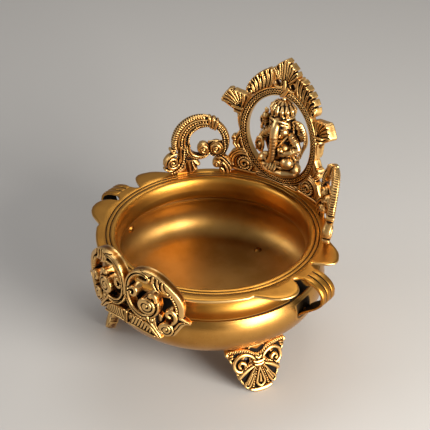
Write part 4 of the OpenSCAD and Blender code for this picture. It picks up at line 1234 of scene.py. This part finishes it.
def arms(f):
    """The upper pair raised, the lower pair forward."""
    for side in (-1, 1):
        f.ball((side * 10.4, -0.5, 41), (4.8, 4.6, 4.8), 1.5)
        f.tube([(side * 9, 2, 39), (side * 17.4, 3, 38), (side * 20.6, 0.5, 43), (side * 19.6, -1.6, 50)],
               [4.2, 3.7, 3.0, 2.7], 1.2)
        f.ball((side * 18.8, -2.2, 52.6), (3.4, 3.0, 3.2), 0.6)
        for k in range(3):
            f.tube([(side * 18.8 - 3, -4.9, 51.2 + 1.5 * k), (side * 18.8 + 3, -4.9, 51.2 + 1.5 * k)], 0.3, 0)
        for height in (45.2, 47.4):
            f.tube(circle((side * 20.3, -0.4, height), 3.2), 0.75, 0.2)
        f.tube([(side * 11, -3.5, 41), (side * 17, -4.6, 36), (side * 20.4, -5.4, 31.5)], [3.9, 3.6, 3.1],
               0.8)
        for k in range(3):
            f.tube([(side * (12.4 + 2.6 * k) + 3 * c, -5.0 + 4.3 * s - 0.3 * k, 40.2 - 2.3 * k + 3 * side * c)
                    for c, s in zip(np.cos(np.linspace(0, 6.3, 20)), np.sin(np.linspace(0, 6.3, 20)))], 0.45,
                   0.15)
    f.tube([(-20.0, -6, 31), (-18.6, -9.4, 20.4)], [3.0, 2.4], 0.6)
    f.tube([(20.2, -6.2, 31.2), (15.6, -11.4, 28.4), (11.0, -14.0, 27.4)], [3.1, 2.7, 2.2], 0.4)
    for reach in (0.35, 0.5):
        f.ball((20.2 - 9.2 * reach, -6.2 - 7.8 * reach, 31.2 - 3.8 * reach), (1.1, 3.5, 3.5), 0.15, 40)


def palms(f):
    """Blessing palm on one side, a bowl of sweets on the other."""
    f.ball((-18.0, -11.4, 26.4), (4.8, 2.2, 8.6), 0.5)
    f.ball((-18.0, -13.6, 25.6), (3.0, 1.4, 5.8), 0)
    f.ball((-18.0, -12.8, 25.6), (1.6, 1.2, 3.6), 0.2)
    f.tube([(-21.4, -12.2, 20), (-22.2, -12.6, 27), (-20.4, -12.4, 33.2)], 0.9, 0.15)
    f.tube([(-14.8, -12.6, 20), (-14.0, -12.8, 27), (-15.8, -12.4, 33.4)], 0.9, 0.15)
    f.ball((8.4, -14.8, 26.6), (3.8, 2.6, 2.6), 0.4)
    for k in range(4):
        f.tube([(11.6, -15.4, 25.4 + 1.2 * k), (7.0, -17.2, 25.2 + 1.2 * k)], 0.6, 0.1)
    f.ball((7.4, -15.4, 30.4), (3.0, 2.8, 2.2), 0.15)


def held(f):
    """What the upper hands hold."""
    f.tube([(-19, -2.6, 42), (-18.4, -2.6, 60)], 1.0, 0.2)
    f.ball((-17.4, -2.8, 58.4), (2.6, 1.4, 2.4), 0.3)
    f.ball((-22.0, -2.6, 46.6), (2.9, 2.0, 5.2), 0.3)
    f.ball((-22.4, -4.4, 46.6), (1.3, 1.2, 3.0), 0)
    f.beads([(-22.6, -2.6, 40.6), (-22.8, -2.6, 36.4)], 1.7, 2.4, 0.2)
    f.tube(flowing([(16.4, -2.6, 57.6), (20.4, -2.2, 55.6), (23.6, -1.2, 48.8), (24.4, 0.4, 41.4),
                    (23.4, 1.2, 34), (20.0, 1.6, 26), (17.6, 1, 18)]), [1.2, 1.8, 2.0, 2.0, 1.8, 1.3], 0.3)
    f.beads(flowing([(17.4, -4.2, 57.0), (20.9, -4.0, 54.4), (23.8, -3.0, 48.0), (24.4, -1.6, 41.4),
                     (23.4, -0.9, 34)]), 1.2, 2.6)


def head(f):
    """Elephant head: ears with a curled edge, brows, lidded eyes, cheeks, tusks and trunk."""
    f.ball((0, -2.4, 50), (10.2, 9.4, 8.8), 1.0)
    for side in (-1, 1):
        f.ball((side * 13.0, 0.4, 47.4), (7.2, 1.9, 8.6), 0.4, side * 24)
        f.ball((side * 13.4, -1.4, 46.6), (5.0, 1.2, 6.2), 0, side * 24)
        for k, height in enumerate((52.6, 49.2, 45.8, 42.4)):
            f.tube([(side * (10.8 + 2.2 * c), -2.0 - 0.9 * c, height + 1.4 * s)
                    for c, s in ((-1, 0.4), (0, 1.1), (1, 0.6), (1.2, -0.4), (0.4, -0.7))], 0.6, 0.1)
        f.ball((side * 5.8, -8.4, 46.6), (4.6, 4.8, 4.2), 0.5)
        f.ball((side * 4.8, -8.8, 55.0), (4.6, 3.6, 3.4), 0.5)
        f.ball((side * 6.2, -12.4, 52.2), (4.0, 2.4, 2.7), 0)
        f.ball((side * 6.2, -9.4, 52.1), (3.3, 2.9, 2.3), 0)
        f.ball((side * 6.2, -9.2, 52.1), (3.1, 2.7, 2.05), 0.05)
        f.ball((side * 5.8, -12.1, 52.2), (0.9, 0.7, 0.9), 0)
        f.tube([(side * 2.0, -11.8, 51.8), (side * 5.8, -12.4, 54.8), (side * 10.2, -8.2, 52.6)],
               [0.7, 1.05, 0.7], 0.1)
        f.tube([(side * 2.4, -12.0, 51.2), (side * 6.0, -12.2, 49.6), (side * 10.2, -8.2, 51.4)],
               [0.6, 0.95, 0.6], 0.1)
        f.tube([(side * 1.8, -12.0, 57.0), (side * 5.6, -12.0, 57.8), (side * 10.0, -8.4, 55.6)],
               [0.8, 1.1, 0.7], 0.15)
        f.ball((side * 4.4, -12.6, 45.6), (1.5, 1.5, 1.3), 0)
        f.tube([(side * 4.4, -10.6, 45.6), (side * 5.6, -14.6, 43.2)], [1.1, 0.6], 0.1)
        f.ball((side * 11.2, -4.2, 39.4), (1.9, 1.6, 2.4), 0.2)
    trunk = flowing([(0, -8.6, 55), (0, -12.6, 51), (0, -15.0, 45), (0, -15.8, 38), (-0.4, -16.2, 31),
                     (-0.8, -16.6, 24.4), (-2.0, -16.8, 18.6), (-5.0, -16.6, 15.6), (-7.8, -15.8, 18.0),
                     (-7.4, -15.6, 21.4)], 10)
    t = np.linspace(0, 1, len(trunk))
    f.ball((0, -9.2, 52.0), (5.4, 5.4, 7.6), 1.6)
    f.tube(trunk, 5.0 - 4.4 * t + 1.3 * t * t + 0.2 * np.cos(2 * np.pi * 19 * t) * (t > 0.25), 0.9)
    for x in (-1.8, 0, 1.8):
        f.tube([(x, -12.0 + abs(x) * 0.3, 55.6), (x * 0.9, -15.4 + abs(x) * 0.5, 51)], 0.3, 0)


def crown(f):
    """Brow band, gadrooned dome and finial."""
    cut, x, y, z = f.zone((-15, -12, 52), (11, 14, 76))
    x, y = x + 1.8, y - 1.8
    around, angle = np.hypot(x, y), np.arctan2(x, -y)
    up = (z - 58) / 14.8
    swell = 10.2 * np.sqrt(np.clip(1 - np.clip(up, 0, 1) ** 2.2, 0, 1))
    swell = swell + 0.9 * np.abs(np.sin(5 * angle)) * (up > 0.14)
    f.join(cut, np.minimum(swell - around, np.minimum(z - 56.6, 72.6 - z)) * 0.85, 0.6)
    f.tube(circle((-1.8, 1.4, 57.6), 10.4, tilt=0.04), 1.1, 0.2)
    f.beads(circle((-1.8, 1.6, 59.8), 10.7, tilt=0.04), 1.2, 2.7)
    for turn in range(-104, 130, 26):
        a = math.radians(turn)
        leaf = [(-1.8 + r * math.sin(a), 1.8 - r * math.cos(a), z)
                for r, z in ((11.0, 61.8), (10.8, 65.0), (8.6, 69.0))]
        f.tube(leaf, [1.6, 2.2, 1.0], 0.1)
        f.ball((leaf[1][0] * 1.12, leaf[1][1] * 1.12, 65.4), (1.1, 1.1, 1.5), 0.1)
    f.ball((-1.8, 1.8, 72.8), 2.1, 0.3)


def slab(f):
    """The slab behind the body."""
    cut, x, y, z = f.zone((-25, 1, 0), (17, 8, 58))
    wide = 19 - np.clip(z - 42, 0, None) * 0.5 - np.clip(24 - z, 0, None) * 0.4
    plate = np.minimum(np.minimum(wide - np.abs(x + 4.5), 2.4 - np.abs(y - 4.2)), 56 - z + 0 * x)
    f.join(cut, plate, 0.4)


def figure():
    """The figure, around the middle of its seat and facing -Y."""
    f = Solid((-28, -21, -1), (28, 11, 76))
    for part in (legs, knee, torso, thread, arms, palms, held, head, crown, slab):
        part(f)
    f.field = np.minimum(f.field, f.axes[2][None, None, :] + 0.1)
    points, quads, patina_and_shade = meshed(f.field, f.low)
    # painted shade on the slab and the back of the body, behind the figure
    shade_behind_body = (points[:, 1] > 0) * (points[:, 1] < 4.5) * (points[:, 2] < 56)
    return points, quads, patina_and_shade + shade_behind_body * np.clip(points[:, 1], 0, 1)


points, quads, patina_and_shade = figure()
piece("temple_figure", points + np.array(SEAT), quads, IMAGE, ["seated_figure"], patina_and_shade)

profile = [(0, 0), (12.6, 0), *curve((13.4, 0.6), (13.6, 2.4), (12.6, 4.4), (11.4, 6.2), 8),
           *curve((10.8, 7.4), (11.2, 9.4), (12.8, 10.6), (13.8, 11.6), 8), (13.8, 13.2), (13.2, 14.6),
           (12, 15), (0, 15)]


def petals(r, z, b):
    """Two rows of lotus petals, one turned half a petal from the other."""
    lower = np.abs(np.cos(8 * b)) ** 0.6 * (z > 0.5) * (z < 6)
    upper = np.abs(np.sin(8 * b)) ** 0.6 * (z > 7) * (z < 14)
    return r + (r > 9) * (0.9 * lower + 0.9 * upper - 0.5), z + 0 * b


points, quads = lathe(profile, 256, petals)
points[:, 1] = np.maximum(points[:, 1], FRAME_Y + 1.5 - SEAT[1])
piece("lotus_base", points + np.array([SEAT[0], SEAT[1], RIM_Z]), quads, IMAGE,
      ["figure_base"])


# ---------------------------------------------------------------- fixings, which keep their CAD shapes
for name in ("handle_rivets", "foot_rivets", "crest_pins", "frame_screws", "figure_screw",
             "side_scroll_screws", "front_scroll_pins"):
    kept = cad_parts[name]
    kept.data.materials.clear()
    kept.data.materials.append(FIXING)


# ---------------------------------------------------------------- stage, light and camera
def floor():
    size = 6.0
    mesh = bpy.data.meshes.new("floor")
    mesh.from_pydata([(-size, -size, 0), (size, -size, 0), (size, size, 0), (-size, size, 0)], [],
                     [(0, 1, 2, 3)])
    made = bpy.data.materials.new("pale_floor")
    made.use_nodes = True
    shader = made.node_tree.nodes["Principled BSDF"]
    shader.inputs["Base Color"].default_value = (0.47, 0.455, 0.435, 1)
    shader.inputs["Roughness"].default_value = 0.85
    mesh.materials.append(made)
    ground = bpy.data.objects.new("floor", mesh)
    scene.collection.objects.link(ground)


def lamp(name, place, aim, size, watts, colour=(1, 1, 1)):
    data = bpy.data.lights.new(name, "AREA")
    data.shape, data.size, data.size_y = "RECTANGLE", size[0], size[1]
    data.energy, data.color = watts, colour
    made = bpy.data.objects.new(name, data)
    made.location = place
    direction = made.location.copy()
    direction.x, direction.y, direction.z = (a - b for a, b in zip(aim, place))
    made.rotation_mode = "QUATERNION"
    made.rotation_quaternion = direction.to_track_quat("-Z", "Y")
    made.visible_camera = False
    scene.collection.objects.link(made)


floor()
world = bpy.data.worlds.new("soft_room")
world.use_nodes = True
scene.world = world
back = world.node_tree.nodes["Background"]
back.inputs["Color"].default_value = (0.86, 0.83, 0.80, 1)
back.inputs["Strength"].default_value = 0.26
lamp("window", (1.15, -0.16, 0.42), (0, 0, 0.10), (0.66, 0.80), 36, (1.0, 0.96, 0.90))
lamp("fill", (-1.0, -0.9, 0.9), (0, 0, 0.08), (0.7, 0.5), 5, (0.96, 0.97, 1.0))
lamp("top", (-0.25, 0.45, 1.2), (0, 0, 0.1), (0.8, 0.6), 5)
scene.view_settings.view_transform = "Standard"

azimuth, elevation, distance = math.radians(38.1), math.radians(34.1), 1.3
away = np.array([math.sin(azimuth) * math.cos(elevation), -math.cos(azimuth) * math.cos(elevation),
                 math.sin(elevation)])
right = np.array([math.cos(azimuth), math.sin(azimuth), 0])
up = np.cross(away, right)
camera = bpy.data.objects.new("camera", bpy.data.cameras.new("camera"))
target = np.array([0, 0, 0.105]) + right * 0.0019 + up * 0.0174
camera.location = target + away * distance
camera.rotation_mode = "QUATERNION"
looking = camera.location.copy()
looking.x, looking.y, looking.z = away
camera.rotation_quaternion = looking.to_track_quat("Z", "Y")
camera.data.lens, camera.data.sensor_width = 122.06, 36
camera.data.clip_start, camera.data.clip_end = 0.05, 50
scene.collection.objects.link(camera)
scene.camera = camera
